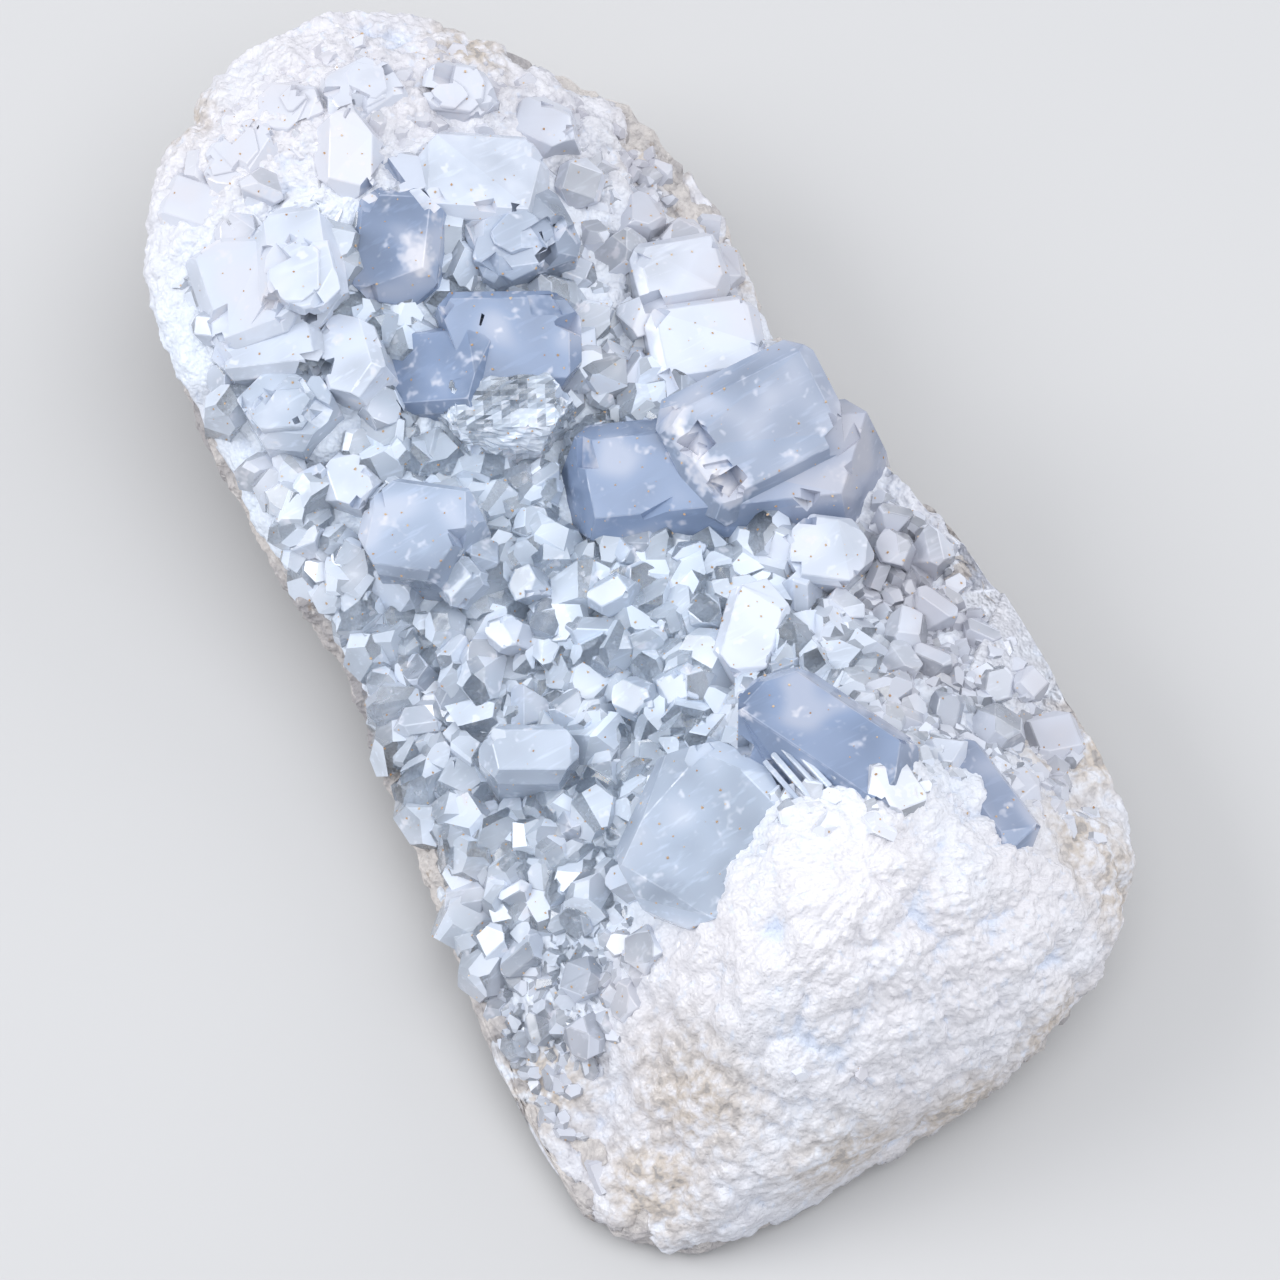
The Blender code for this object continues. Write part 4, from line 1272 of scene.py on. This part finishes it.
@dataclass
class CrystalCluster:
    """The large crystals and the middle-sized ones between them, joined in one solid.

    The middle-sized ones stand on a jittered grid over the body's top. The fields from small to steepest say how large
    they are, where they stand and how they lean, in metres where MM stands and else in mm, degrees or shares, and the
    sugary ones how this differs on the near lump. Then come how many planes cut the corners and edges, the growth
    steps on stepped crystals, the worn edges, whose frost is partly a painted highlight, the chips broken off large
    crystals, the chips that make a ragged break, with their size, how far they stray and how far over it they lie, and
    the crumples of a broken crystal's skin.
    """

    form: BodyForm
    seed: int = 20
    finish: CelestiteFinish = CelestiteFinish(breaks=BREAKS)
    small: Triple = (7.2, 5.2, 6.0)
    spacing: float = 5.2 * MM
    jitter: float = 0.34
    reach: float = 0.93
    clearance: float = 0.42
    whitest: float = 0.72
    sizes: tuple[float, float] = (0.75, 1.25)
    rises: tuple[float, float] = (0.8, 2.4)
    prouder: float = 0.9 * MM
    points: tuple[float, float] = (0.58, 0.9)
    bevels: tuple[tuple[float, float], ...] = ((0.35, 0.0), (0.0, 0.5), (0.0, 0.0))
    facets: tuple[tuple[float, float], ...] = ((0.5, 0.5), (0.3, 0.8), (0.7, 0.3), (0.2, 0.5))
    lean: float = 28.0
    bolder: float = 1.4
    slimmer: float = 0.8
    steepest: float = 0.7
    sugary_x: float = -13.0 * MM
    sugary_y: float = -37.0 * MM
    sugary_size: float = 1.35
    sugary_height: float = 0.4
    large_cuts: int = 4
    small_cuts: int = 6
    step_cuts: int = 2
    steps: int = 2
    step_shrink: tuple[float, float] = (0.66, 0.84)
    step_depth: float = 2.0
    rounding: float = 0.08 * MM
    # Frost on the rounded edges: partly real wear, partly a painted highlight
    edge_wear_and_highlight: float = 0.15
    chips: int = 6
    chip_size: tuple[float, float] = (0.10, 0.34)
    chip_zone: float = 5.0 * MM
    chip_frost: tuple[float, ...] = (0.0, 0.0, 0.2, 0.4)
    break_chips: int = 5
    break_size: tuple[float, float] = (1.0 * MM, 3.4 * MM)
    break_spread: float = 0.3
    break_rise: float = 0.62
    crumple_cuts: int = 10
    crumple_size: float = 2.0 * MM
    crumple_depth: float = 0.9 * MM

    def _slope(self, x: float, y: float) -> Vector:
        """Returns how steeply the body's top rises along x and along y, within limits."""
        step = 2.0 * MM
        heights = self.form.top(np.array([x + step, x - step, x, x]), np.array([y, y, y + step, y - step]))[0]
        rise = Vector((heights[0] - heights[1], heights[2] - heights[3])) / (2 * step)
        return rise * min(1.0, self.steepest / max(rise.length, 0.001))

    def _stands_clear(self, x: float, y: float) -> bool:
        """Tells whether a place is clear of every large crystal's middle."""
        for crystal in LARGE_CRYSTALS.values():
            away = Vector((x - crystal.place[0] * MM, y - crystal.place[1] * MM))
            heading = math.radians(crystal.heading)
            along = away.dot(Vector((math.cos(heading), math.sin(heading))))
            across = away.dot(Vector((-math.sin(heading), math.cos(heading))))
            reach = self.clearance * MM
            if math.hypot(along / (reach * crystal.length), across / (reach * crystal.width)) < 1.0:
                return False
        return True

    def middle_sized(self) -> list[Crystal]:
        """Returns the middle-sized crystals, scattered over the body's top."""
        rng = random.Random(self.seed)
        rows = round(max(abs(point[1]) for point in GIRDLE) * MM / self.spacing)
        columns = round(max(abs(point[0]) for point in GIRDLE) * MM / self.spacing)
        found = []
        for row, column in itertools.product(range(-rows, rows + 1), range(-columns, columns + 1)):
            x = (column + 0.5 * (row % 2) + rng.uniform(-self.jitter, self.jitter)) * self.spacing
            y = (row + rng.uniform(-self.jitter, self.jitter)) * self.spacing
            size, out = rng.uniform(*self.sizes), rng.uniform(*self.rises)
            heading, lean, toward = rng.uniform(0, 180), rng.uniform(0, self.lean), rng.uniform(0, math.tau)
            point, bevels = rng.uniform(*self.points), rng.choice(self.bevels)
            heights, shares = self.form.top(np.array([x]), np.array([y]))
            sugary = y < self.sugary_y and x > self.sugary_x
            if shares[0] > self.reach or not self._stands_clear(x, y) or (sugary and (row + column) % 2):
                continue
            if sugary:
                size, out = size * self.sugary_size, out * self.sugary_height
            lean, size = lean * self.bolder, size * self.slimmer
            slope = self._slope(x, y)
            along = Vector((math.cos(math.radians(heading)), math.sin(math.radians(heading))))
            length, width, depth = (value * size for value in self.small)
            climb = math.degrees(math.atan(slope.dot(along))) + lean * math.cos(toward)
            tilt = math.degrees(math.atan(along.cross(slope))) + lean * math.sin(toward)
            if self.form.white.at(np.array([x]), np.array([y]))[0] > self.whitest:
                continue
            place = (x / MM, y / MM, (heights[0] + self.prouder) / MM + out)
            cut = self.facets[self.bevels.index(bevels) + len(found) % 2]
            found.append(Crystal(place, length, width, depth, heading, climb, tilt, point, *cut))
        return found

    def _cuts(self, crystal: Crystal, rng: random.Random, count: int) -> list[tuple[Vector, float]]:
        """Draws planes that cut a crystal's corners and edges.

        Args:
            crystal: The crystal.
            rng: What chance draws from.
            count: How many.

        Returns:
            Each plane's normal and distance.
        """
        cuts = []
        for _ in range(count):
            x = rng.choice((-1, 1)) * crystal.length * (1 - crystal.point * rng.uniform(0.0, 1.0)) / 2
            y = rng.choice((-1, 1)) * crystal.width * rng.uniform(0.2, 1.0) / 2
            corner = Vector((x, y, 0.0)) * MM
            sideways = x * rng.uniform(0.2, 1.6), y * rng.uniform(0.2, 1.6)
            facing = Vector((*sideways, crystal.width * rng.uniform(0.1, 0.9))).normalized()
            cuts.append((facing, max(facing.dot(corner), 0.0) * rng.uniform(0.78, 0.97)))
        return cuts

    def _growth_step(self, crystal: Crystal, step: int, rng: random.Random) -> Crystal:
        """Draws a growth step.

        Args:
            crystal: The crystal that it stands on.
            step: Its number, from 0 at the lowest.
            rng: What chance draws from.

        Returns:
            The step as a crystal, about the middle of the other one's face.
        """
        shrink = rng.uniform(*self.step_shrink) - 0.2 * step
        place = (
            rng.uniform(-0.13, 0.13) * crystal.length,
            rng.uniform(-0.13, 0.13) * crystal.width,
            rng.uniform(0.15, 0.4) * (step + 1),
        )
        length, width = crystal.length * shrink, crystal.width * shrink * rng.uniform(0.85, 1.1)
        turns = rng.uniform(-9.0, 9.0), rng.uniform(-1.5, 1.5), rng.uniform(-1.5, 1.5)
        return Crystal(place, length, width, self.step_depth, *turns, rng.uniform(0.3, 0.9), 0.1, 0.1)

    def _solids(self, crystal: Crystal, rng: random.Random, large: bool) -> list[bmesh.types.BMesh]:
        """Builds one crystal, with its growth steps.

        Args:
            crystal: The crystal.
            rng: What chance draws from.
            large: Whether it is one of the large ones.

        Returns:
            Its solids, which overlap.
        """
        cuts = self.large_cuts if large else self.small_cuts
        solids = [polytope(crystal.planes() + self._cuts(crystal, rng, cuts))]
        for step in range(self.steps if crystal.wear is Wear.STEPPED else 0):
            inner = self._growth_step(crystal, step, rng)
            solid = polytope(inner.planes() + self._cuts(inner, rng, self.step_cuts))
            bmesh.ops.transform(solid, matrix=inner.placement(), verts=solid.verts)
            solids.append(solid)
        for solid in solids:
            bmesh.ops.transform(solid, matrix=crystal.placement(), verts=solid.verts)
        return solids

    def _rounded(self, mesh: bmesh.types.BMesh, white: float, deep: float, large: bool) -> bmesh.types.BMesh:
        """Rounds a crystal's edges and stores how each face looks; the rounded edges get a frost that is partly a
        painted highlight.

        Args:
            mesh: The crystal, in place.
            white: How white it is.
            deep: How deep its blue is.
            large: Whether it is one of the large ones, which vary less from face to face.

        Returns:
            The crystal.
        """
        flawed(mesh, 0.6 * MM, 0.25 if large else 1.0)
        layers = look_layers(mesh)
        made = bmesh.ops.bevel(mesh, geom=mesh.edges[:], offset=self.rounding, segments=1, affect="EDGES", profile=0.5)
        for face in mesh.faces:
            face[layers["own"]], face[layers["white"]], face[layers["deep"]] = 1.0, white, deep
            face[layers["worn"]] = 0.0
        # Painted highlight: the rounded edges get some frost, which partly stands in for light catching them
        for face in made["faces"]:
            face[layers["worn"]] = self.edge_wear_and_highlight
        bmesh.ops.triangulate(mesh, faces=mesh.faces)
        return mesh

    def _crumpled(self, mesh: bmesh.types.BMesh) -> bmesh.types.BMesh:
        """Turns a crystal's skin into a broken, crumpled one."""
        layers = look_layers(mesh)
        bmesh.ops.triangulate(mesh, faces=mesh.faces)
        bmesh.ops.subdivide_edges(mesh, edges=mesh.edges, cuts=self.crumple_cuts, use_grid_fill=True)
        mesh.normal_update()
        moves = {}
        for vert in mesh.verts:
            place = vert.co / self.crumple_size
            rise = abs(noise.noise(place)) + 0.5 * abs(noise.noise(place * 2.3)) + 0.3 * noise.noise(place * 5.0)
            moves[vert] = vert.normal * (rise - 0.6) * self.crumple_depth
        for vert, move in moves.items():
            vert.co += move
        for face in flawed(mesh, 1.2 * MM, 0.7).faces:
            rough = noise.noise(face.calc_center_median() / (0.6 * MM))
            face[layers["own"]], face[layers["white"]], face[layers["worn"]] = 1.0, 0.0, max(0.0, rough)
        bmesh.ops.triangulate(mesh, faces=mesh.faces)
        return mesh

    def _cutters(self, solid: bmesh.types.BMesh, crystal: Crystal, rng: random.Random) -> list[bpy.types.Object]:
        """Builds the chips that are broken off a large crystal's upper edges.

        Args:
            solid: The crystal, in place.
            crystal: The crystal's sizes and looks.
            rng: What chance draws from.

        Returns:
            The chips.
        """
        top = max(vert.co.z for vert in solid.verts)
        edges = [edge for edge in solid.edges if min(vert.co.z for vert in edge.verts) > top - self.chip_zone]
        cutters = []
        for _ in range(self.chips):
            edge = rng.choice(edges)
            along = rng.uniform(0.0, 1.0)
            place = edge.verts[0].co.lerp(edge.verts[1].co, along)
            out = sum((face.normal for face in edge.link_faces), Vector()).normalized()
            size = rng.uniform(*self.chip_size) * crystal.width * MM
            place += out * size * rng.uniform(0.20, 0.42)
            cutters.append(self._chip(place, size, rng, crystal.white, crystal.deep))
        return cutters

    def _chip(
        self, place: Vector, size: float, rng: random.Random, white: float = 0.0, deep: float = 1.0
    ) -> bpy.types.Object:
        """Builds one chip.

        Args:
            place: Its middle.
            size: Its size, in metres.
            rng: What chance draws from.
            white: How white the face is that it leaves.
            deep: How deep that face's blue is.

        Returns:
            The chip.
        """
        chip = grain(rng)
        turn = Matrix.Rotation(rng.uniform(0, math.tau), 4, Vector((rng.random(), rng.random(), rng.random() + 0.1)))
        bmesh.ops.transform(chip, matrix=Matrix.Translation(place) @ turn @ Matrix.Scale(size, 4), verts=chip.verts)
        layers = look_layers(chip)
        for face in chip.faces:
            face[layers["own"]], face[layers["worn"]] = 1.0, rng.choice(self.chip_frost)
            face[layers["white"]], face[layers["deep"]] = white, deep
        return as_object("chip", chip)

    @staticmethod
    def _combine(first: bpy.types.Object, others: list[bpy.types.Object], operation: str) -> None:
        """Joins others to a solid, or takes them away from it, and removes them.

        Args:
            first: The solid.
            others: The others.
            operation: UNION or DIFFERENCE.
        """
        group = bpy.data.collections.new("others")
        for other in others:
            group.objects.link(other)
        modifier = first.modifiers.new("Combine", "BOOLEAN")
        modifier.operation = operation
        modifier.operand_type = "COLLECTION"
        modifier.collection = group
        modifier.solver = "MANIFOLD"
        applied(first)
        for other in others:
            bpy.data.objects.remove(other)
        bpy.data.collections.remove(group)

    def _crystals(self, rng: random.Random) -> tuple[list[bpy.types.Object], list[bpy.types.Object]]:
        """Builds the large and the middle-sized crystals, by a source of chance.

        Returns:
            Their solids, and the chips that are broken off the large ones.
        """
        solids, cutters = [], []
        listed = [(crystal, True) for crystal in LARGE_CRYSTALS.values()]
        listed += [(crystal, False) for crystal in self.middle_sized()]
        for crystal, large in listed:
            white = 0.0 if large else float(self.form.white.share(np.array([crystal.place]) * MM)[0])
            for solid in self._solids(crystal, rng, large):
                solid.normal_update()
                if large:
                    cutters += self._cutters(solid, crystal, rng)
                deep = crystal.deep if large else rng.uniform(0.0, 0.5)
                if crystal.wear is Wear.BROKEN:
                    skin = self._crumpled(solid)
                else:
                    skin = self._rounded(solid, max(white, crystal.white), deep, large)
                solids.append(as_object("crystal", skin))
        return solids, cutters

    def _break_chips(self, rng: random.Random) -> list[bpy.types.Object]:
        """Builds the chips that make the ragged breaks, by a source of chance."""
        cutters = []
        for spot in BREAKS:
            for _ in range(self.break_chips):
                stray = Vector([rng.gauss(0.0, self.break_spread) * spot.radius * MM for _ in range(3)])
                place = Vector(spot.place) * MM + stray
                size = rng.uniform(*self.break_size)
                place.z += size * self.break_rise
                cutters.append(self._chip(place, size, rng))
        return cutters

    def build(self, tips: list[bpy.types.Object]) -> bpy.types.Object:
        """Returns the finished piece, with the small tips joined to it.

        Args:
            tips: The small tips, which are used up.
        """
        rng = random.Random(self.seed)
        solids, cutters = self._crystals(rng)
        cutters += self._break_chips(rng)
        first = solids.pop(0)
        self._combine(first, solids, "UNION")
        self._combine(first, cutters, "DIFFERENCE")
        self._combine(first, tips, "UNION")
        without_twins(first.data)
        self._store_surroundings(first.data)
        first.name = first.data.name = "crystals"
        first.data.shade_flat()
        first.data.materials.clear()
        first.data.materials.append(self.finish.material())
        return first

    def _store_surroundings(self, mesh: bpy.types.Mesh) -> None:
        """Gives the tips the whiteness of the place that they stand at, and every face the place's greyness."""
        places = vectors(mesh.polygons, "center")
        has_own = face_values(mesh, "own") > 0.5
        set_values(mesh, "white", np.where(has_own, face_values(mesh, "white"), self.form.white.share(places)))
        set_values(mesh, "shade", self.form.shade.share(places), "FACE")


@dataclass
class Scatter:
    """Small things of one kind, spread over the crust by geometry nodes.

    Attributes:
        name: The piece's name.
        crust: The piece that they stand on.
        kinds: The meshes that they are picked from.
        spacing: The least distance between two, in metres.
        density: How many there are on a square metre where the attribute is 1.
        where: The attribute that scales the density.
        size: The smallest and the largest scale.
        spread: How much their direction strays from the surface's normal.
        sink: How deep they stand, as a share of their scale, in metres.
        seed: What chance starts from.
        joined: Whether they are joined in one solid.
        upward: What is added to their direction, so that they point up more.
    """

    name: str
    crust: bpy.types.Object
    kinds: list[bpy.types.Object]
    spacing: float
    density: float
    where: str
    size: tuple[float, float]
    spread: float
    sink: float
    seed: int
    joined: bool = False
    upward: Triple = (0.0, 0.0, 0.35)

    def build(self, material: bpy.types.Material) -> bpy.types.Object:
        """Returns the finished piece, with this material."""
        graph = GeometryGraph(f"{self.name}_scatter")
        group = bpy.data.collections.new(f"{self.name}_kinds")
        for kind in self.kinds:
            group.objects.link(kind)
        spacing = graph.input("Spacing", self.spacing)
        density = graph.input("Density", self.density)
        smallest = graph.input("Smallest", self.size[0])
        largest = graph.input("Largest", self.size[1])
        spread = graph.input("Spread", self.spread)
        sink = graph.input("Sink", self.sink)
        kinds = graph.input("Kinds", group, "NodeSocketCollection")
        share = graph.add("GeometryNodeInputNamedAttribute", {"data_type": "FLOAT"}, {"Name": self.where})
        sockets = {"Distance Min": spacing, "Density Max": density, "Density Factor": share, "Seed": self.seed}
        sockets["Mesh"] = graph.geometry()
        points = graph.add("GeometryNodeDistributePointsOnFaces", {"distribute_method": "POISSON"}, sockets)
        chance = graph.random_vector((-1.0, -1.0, -1.0), (1.0, 1.0, 1.0), self.seed + 1)
        straying = graph.vector("SCALE", a=chance, scale=spread)
        up = graph.vector("ADD", a=graph.vector("ADD", a=graph.output_of(points, "Normal"), b=straying), b=self.upward)
        aimed = graph.add("FunctionNodeAlignRotationToVector", {"axis": "Z"}, {"Vector": up})
        spin = graph.random_vector((0.0, 0.0, 0.0), (0.0, 0.0, math.tau), self.seed + 2)
        spin = graph.add("FunctionNodeEulerToRotation", {}, {"Euler": spin})
        sockets = {"Rotation": aimed, "Rotate By": spin}
        turned = graph.add("FunctionNodeRotateRotation", {"rotation_space": "LOCAL"}, sockets)
        sockets = {2: smallest, 3: largest, "Seed": self.seed + 3}
        scale = graph.add("FunctionNodeRandomValue", {"data_type": "FLOAT"}, sockets, output=1)
        sunk = graph.vector("SCALE", a=up, scale=scale * sink * -1.0)
        lowered = graph.add("GeometryNodeSetPosition", {}, {"Geometry": points, "Offset": sunk})
        sockets = {"Collection": kinds, "Separate Children": True, "Reset Children": True}
        sockets = {"Instance": graph.add("GeometryNodeCollectionInfo", {}, sockets), "Pick Instance": True}
        sockets |= {"Points": lowered, "Rotation": turned, "Scale": scale}
        placed = graph.add("GeometryNodeInstanceOnPoints", {}, sockets)
        if self.joined:
            settings = {"operation": "UNION", "solver": "MANIFOLD"}
            placed = graph.add("GeometryNodeMeshBoolean", settings, {"Mesh 2": placed})
        piece = as_object(self.name, self.crust.data.copy())
        graph.dress(piece, placed, material)
        for kind in self.kinds:
            bpy.data.objects.remove(kind)
        bpy.data.collections.remove(group)
        return piece


# How many planes cut each small crystal besides its own faces
TIP_CUTS = 4


def tip_kinds(count: int, seed: int) -> list[bpy.types.Object]:
    """Builds unit-sized blocky crystals that end in a chisel, about 1 unit long.

    Args:
        count: How many kinds.
        seed: What chance starts from.

    Returns:
        The objects.
    """
    rng = random.Random(seed)
    kinds = []
    for number in range(count):
        planes = [(Vector((0, 0, -1)), 0.5)]
        half = rng.uniform(0.30, 0.44)
        for side in (-1, 1):
            planes.append((Vector((0, side, 0)), half * rng.uniform(0.55, 0.9)))
            for other in (-1, 1):
                planes.append((prism_normal(side, other), half * rng.uniform(0.85, 1.0)))
            planes.append((end_bevel_normal(side), 0.5 * rng.uniform(0.60, 0.95)))
            planes.append((side_bevel_normal(side), 0.5 * rng.uniform(0.55, 0.95)))
        top = Vector((rng.uniform(-0.35, 0.35), rng.uniform(-0.35, 0.35), 1)).normalized()
        planes.append((top, 0.5 * rng.uniform(0.55, 0.95)))
        for _ in range(TIP_CUTS):
            facing = Vector((rng.uniform(-1, 1), rng.uniform(-1, 1), rng.uniform(0.1, 1.2))).normalized()
            planes.append((facing, 0.5 * rng.uniform(0.6, 0.85)))
        kinds.append(as_object(f"tip_{number}", flawed(polytope(planes), 0.1, 1.0)))
    return kinds


def grain_kinds(count: int, seed: int) -> list[bpy.types.Object]:
    """Builds unit-sized angular grains.

    Args:
        count: How many kinds.
        seed: What chance starts from.

    Returns:
        The objects.
    """
    rng = random.Random(seed)
    return [as_object(f"grain_{number}", grain(rng)) for number in range(count)]


@dataclass(frozen=True)
class SoftLight:
    """A square soft light that shines at the object.

    Its angles are in degrees, its side and how far away it stands in metres, and its power in watts.
    """

    name: str
    azimuth: float
    elevation: float
    size: float
    power: float
    far: float


LIGHTS = (
    SoftLight("sky", 30.0, 74.0, 1.3, 8.8, 1.2),
    SoftLight("window", -120.0, 38.0, 0.5, 4.4, 1.0),
    SoftLight("side", 95.0, 30.0, 0.6, 1.8, 1.0),
)


@dataclass
class Studio:
    """The pale floor, the soft light and the camera at the photo's angle.

    Angles are in degrees and lengths in metres, apart from the sensor's width in mm. The picture is frame_width wide
    at the target.
    """

    azimuth: float = -29.0
    elevation: float = 64.0
    distance: float = 400.0 * MM
    target: Triple = (-1.5 * MM, -11.0 * MM, 20.0 * MM)
    frame_width: float = 121.6 * MM
    sensor: float = 36.0
    clip: tuple[float, float] = (0.01, 10.0)
    floor_reach: float = 3.0
    floor_level: float = -0.02 * MM
    floor_color: Triple = (0.56, 0.56, 0.57)
    sky_color: Triple = (0.93, 0.96, 1.0)
    sky_strength: float = 0.66
    bounces: tuple[tuple[str, int], ...] = (
        ("max_bounces", 6), ("transmission_bounces", 5), ("diffuse_bounces", 2), ("glossy_bounces", 2),
    )

    @staticmethod
    def _away(azimuth: float, elevation: float) -> Vector:
        """Returns the direction from the target to something at these angles, in degrees."""
        side, up = math.radians(azimuth), math.radians(elevation)
        return Vector((math.sin(side) * math.cos(up), -math.cos(side) * math.cos(up), math.sin(up)))

    @staticmethod
    def _place(data: bpy.types.ID, target: Vector, back: Vector, far: float) -> bpy.types.Object:
        """Puts a camera or a light in the scene.

        Args:
            data: The camera or the light.
            target: What it points at.
            back: The direction from there to it.
            far: How far away it stands, in metres.

        Returns:
            Its object.
        """
        made = bpy.data.objects.new(data.name, data)
        bpy.context.scene.collection.objects.link(made)
        made.location = target + back * far
        made.rotation_euler = (-back).to_track_quat("-Z", "Y").to_euler()
        return made

    def _camera(self) -> None:
        """Adds the camera."""
        data = bpy.data.cameras.new("camera")
        data.sensor_width = self.sensor
        data.lens = self.sensor * self.distance / self.frame_width
        data.clip_start, data.clip_end = self.clip
        back = self._away(self.azimuth, self.elevation)
        bpy.context.scene.camera = self._place(data, Vector(self.target), back, self.distance)

    def _light(self, light: SoftLight) -> None:
        """Adds a light."""
        data = bpy.data.lights.new(light.name, "AREA")
        data.size, data.energy = light.size, light.power
        self._place(data, Vector(), self._away(light.azimuth, light.elevation), light.far)

    def _floor(self) -> None:
        """Adds the pale floor."""
        mesh = bmesh.new()
        bmesh.ops.create_grid(mesh, x_segments=1, y_segments=1, size=self.floor_reach)
        floor = as_object("floor", mesh)
        floor.location.z = self.floor_level
        graph = ShaderGraph("pale_floor")
        sockets = {"Color": (*self.floor_color, 1.0)}
        floor.data.materials.append(graph.finish(graph.add("ShaderNodeBsdfDiffuse", {}, sockets)))

    def _world(self) -> None:
        """Adds the light from all around."""
        world = bpy.data.worlds.new("studio")
        world.use_nodes = True
        background = world.node_tree.nodes["Background"]
        background.inputs["Color"].default_value = (*self.sky_color, 1.0)
        background.inputs["Strength"].default_value = self.sky_strength
        bpy.context.scene.world = world

    def build(self) -> None:
        """Builds the studio."""
        self._camera()
        self._floor()
        for light in LIGHTS:
            self._light(light)
        self._world()
        scene = bpy.context.scene
        scene.view_settings.view_transform = "Standard"
        for name, count in self.bounces:
            setattr(scene.cycles, name, count)


def keep_within(piece: bpy.types.Object, margin: float, softness: float) -> None:
    """Draws in what stands out of the solids' box.

    Args:
        piece: The piece.
        margin: How far inside the box it ends, in metres.
        softness: Over what distance it is drawn in, in metres, or 0 where it is cut flat.
    """
    low, high = (np.array(corner) for corner in CAD_BOX)
    middle, reach = (low + high) / 2, (high - low) / 2 - margin
    away = vectors(piece.data.vertices, "co") - middle
    over = np.maximum(np.abs(away) - (reach - softness), 0.0)
    held = reach - softness + softness * (1.0 - np.exp(-over / max(softness, BOX_MARGIN)))
    places = middle + np.where(over > 0.0, np.sign(away) * held, away)
    places[:, 2] = np.where(away[:, 2] < 0.0, np.maximum(middle[2] + away[:, 2], low[2]), places[:, 2])
    set_places(piece.data, places)
    piece.data.update()


def declare(piece: bpy.types.Object, node: str, margin: float = BOX_MARGIN, softness: float = 0.0) -> None:
    """Draws a piece into the solids' box, hangs it under the body and hides the solid that it stands for.

    Args:
        piece: The piece.
        node: The node that it stands for.
        margin: How far inside the solids' box it ends, in metres.
        softness: Over what distance it is drawn in, in metres.
    """
    keep_within(piece, margin, softness)
    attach(piece, BODY)
    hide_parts(node)
    log.info("%s: %d faces", piece.name, len(piece.data.polygons))


@dataclass(frozen=True)
class Planting:
    """Where small crystals grow on the valley's crust.

    Coarse ones, the druse, stand on clear ground. Fine ones, the fringe, stand on white ground and on the left slope,
    and denser past far_y. No crystal stands past the rim, a share of the way to the girdle, or where a large crystal
    covers the ground, by a share of its length and width. Each blend is how gradually a change comes, in metres or in
    whiteness.
    """

    form: BodyForm
    covered: float = 0.46
    rim: float = 0.94
    slope_corner: tuple[float, float] = (-9.0 * MM, -27.0 * MM)
    slope_blend: tuple[float, float] = (4.0 * MM, 6.0 * MM)
    whiteness: float = 0.25
    white_blend: float = 0.15
    far_y: float = 30.0 * MM
    far_blend: float = 6.0 * MM

    def _room(self, places: np.ndarray) -> np.ndarray:
        """Tells which places on the ground are celestite that no large crystal covers."""
        x, y, z = places.T
        room = (z > self.form.seam.at(x, y)) & (self.form.top(x, y)[1] < self.rim)
        for crystal in LARGE_CRYSTALS.values():
            away = places[:, :2] - np.array(crystal.place[:2]) * MM
            turn = math.radians(crystal.heading)
            along = away @ np.array((math.cos(turn), math.sin(turn))) / (crystal.length * MM)
            across = away @ np.array((-math.sin(turn), math.cos(turn))) / (crystal.width * MM)
            room &= np.hypot(along, across) >= self.covered
        return room

    def mark(self, mesh: bpy.types.Mesh) -> None:
        """Stores how densely the druse and the fringe stand at each point of the ground."""
        places = vectors(mesh.vertices, "co")
        x, y = places[:, 0], places[:, 1]
        white, room = self.form.white.share(places), self._room(places)
        slope = rising(-y, -self.slope_corner[1], self.slope_blend[1])
        slope = slope * rising(-x, -self.slope_corner[0], self.slope_blend[0])
        fine = np.maximum(slope, rising(white, self.whiteness, self.white_blend))
        far = rising(y, self.far_y, self.far_blend)
        set_values(mesh, "druse", room * np.clip(1.1 - 1.5 * fine, 0.0, 1.0))
        set_values(mesh, "fringe", room * fine * np.clip(1.9 - 2.1 * white + 0.9 * far, 0.0, 1.0))


# How far inside the solids' box the rock ends, and over what distance the rock and the crust are drawn in
ROCK_MARGIN = 0.5 * MM
ROCK_SOFTNESS = 1.0 * MM
CRUST_SOFTNESS = 1.2 * MM


def main() -> None:
    """Builds every piece in order."""
    logging.basicConfig(level=logging.INFO, format="%(message)s")
    form = BodyForm()
    Studio().build()
    declare(RockMatrix(form).build(), ROCK_NODE, ROCK_MARGIN, ROCK_SOFTNESS)
    crusts = [
        Crust("crust_valley", form, (0.0, 0.0), 80.0 * MM, 560, 170, -0.3 * MM),
        Crust("crust_near", form, (2.0 * MM, -46.0 * MM), 38.0 * MM, 660, 148, 0.2 * MM),
        Crust("crust_far", form, (-3.0 * MM, 42.0 * MM), 30.0 * MM, 640, 145, 0.7 * MM),
    ]
    finish, pieces = CrustFinish(), []
    for crust in crusts:
        pieces.append(crust.build(finish))
        declare(pieces[-1], DRUSE_NODE, softness=CRUST_SOFTNESS)
    ground = pieces[0]
    Planting(form).mark(ground.data)
    coarse, fine = (4.0 * MM, 8.5 * MM), (1.6 * MM, 4.2 * MM)
    druse = Scatter("crystal_tips", ground, tip_kinds(14, 5), 1.7 * MM, 7.0e5, "druse", coarse, 0.7, 0.0, 7, True)
    fringe = Scatter("crystal_fringe", ground, tip_kinds(10, 9), 1.0 * MM, 1.2e6, "fringe", fine, 0.9, 0.02, 27, True)
    crystals = CrystalCluster(form).build([tips.build(finish.material()) for tips in (druse, fringe)])
    declare(crystals, DRUSE_NODE)
    set_values(crystals.data, "dusty", np.ones(len(crystals.data.vertices)))
    specks = (0.07 * MM, 0.24 * MM)
    dust = Scatter("dust", crystals, grain_kinds(3, 13), 0.9 * MM, 1.6e5, "dusty", specks, 1.0, 0.1, 17)
    declare(dust.build(DustFinish().material()), DRUSE_NODE)


if __name__ == "__main__":
    main()
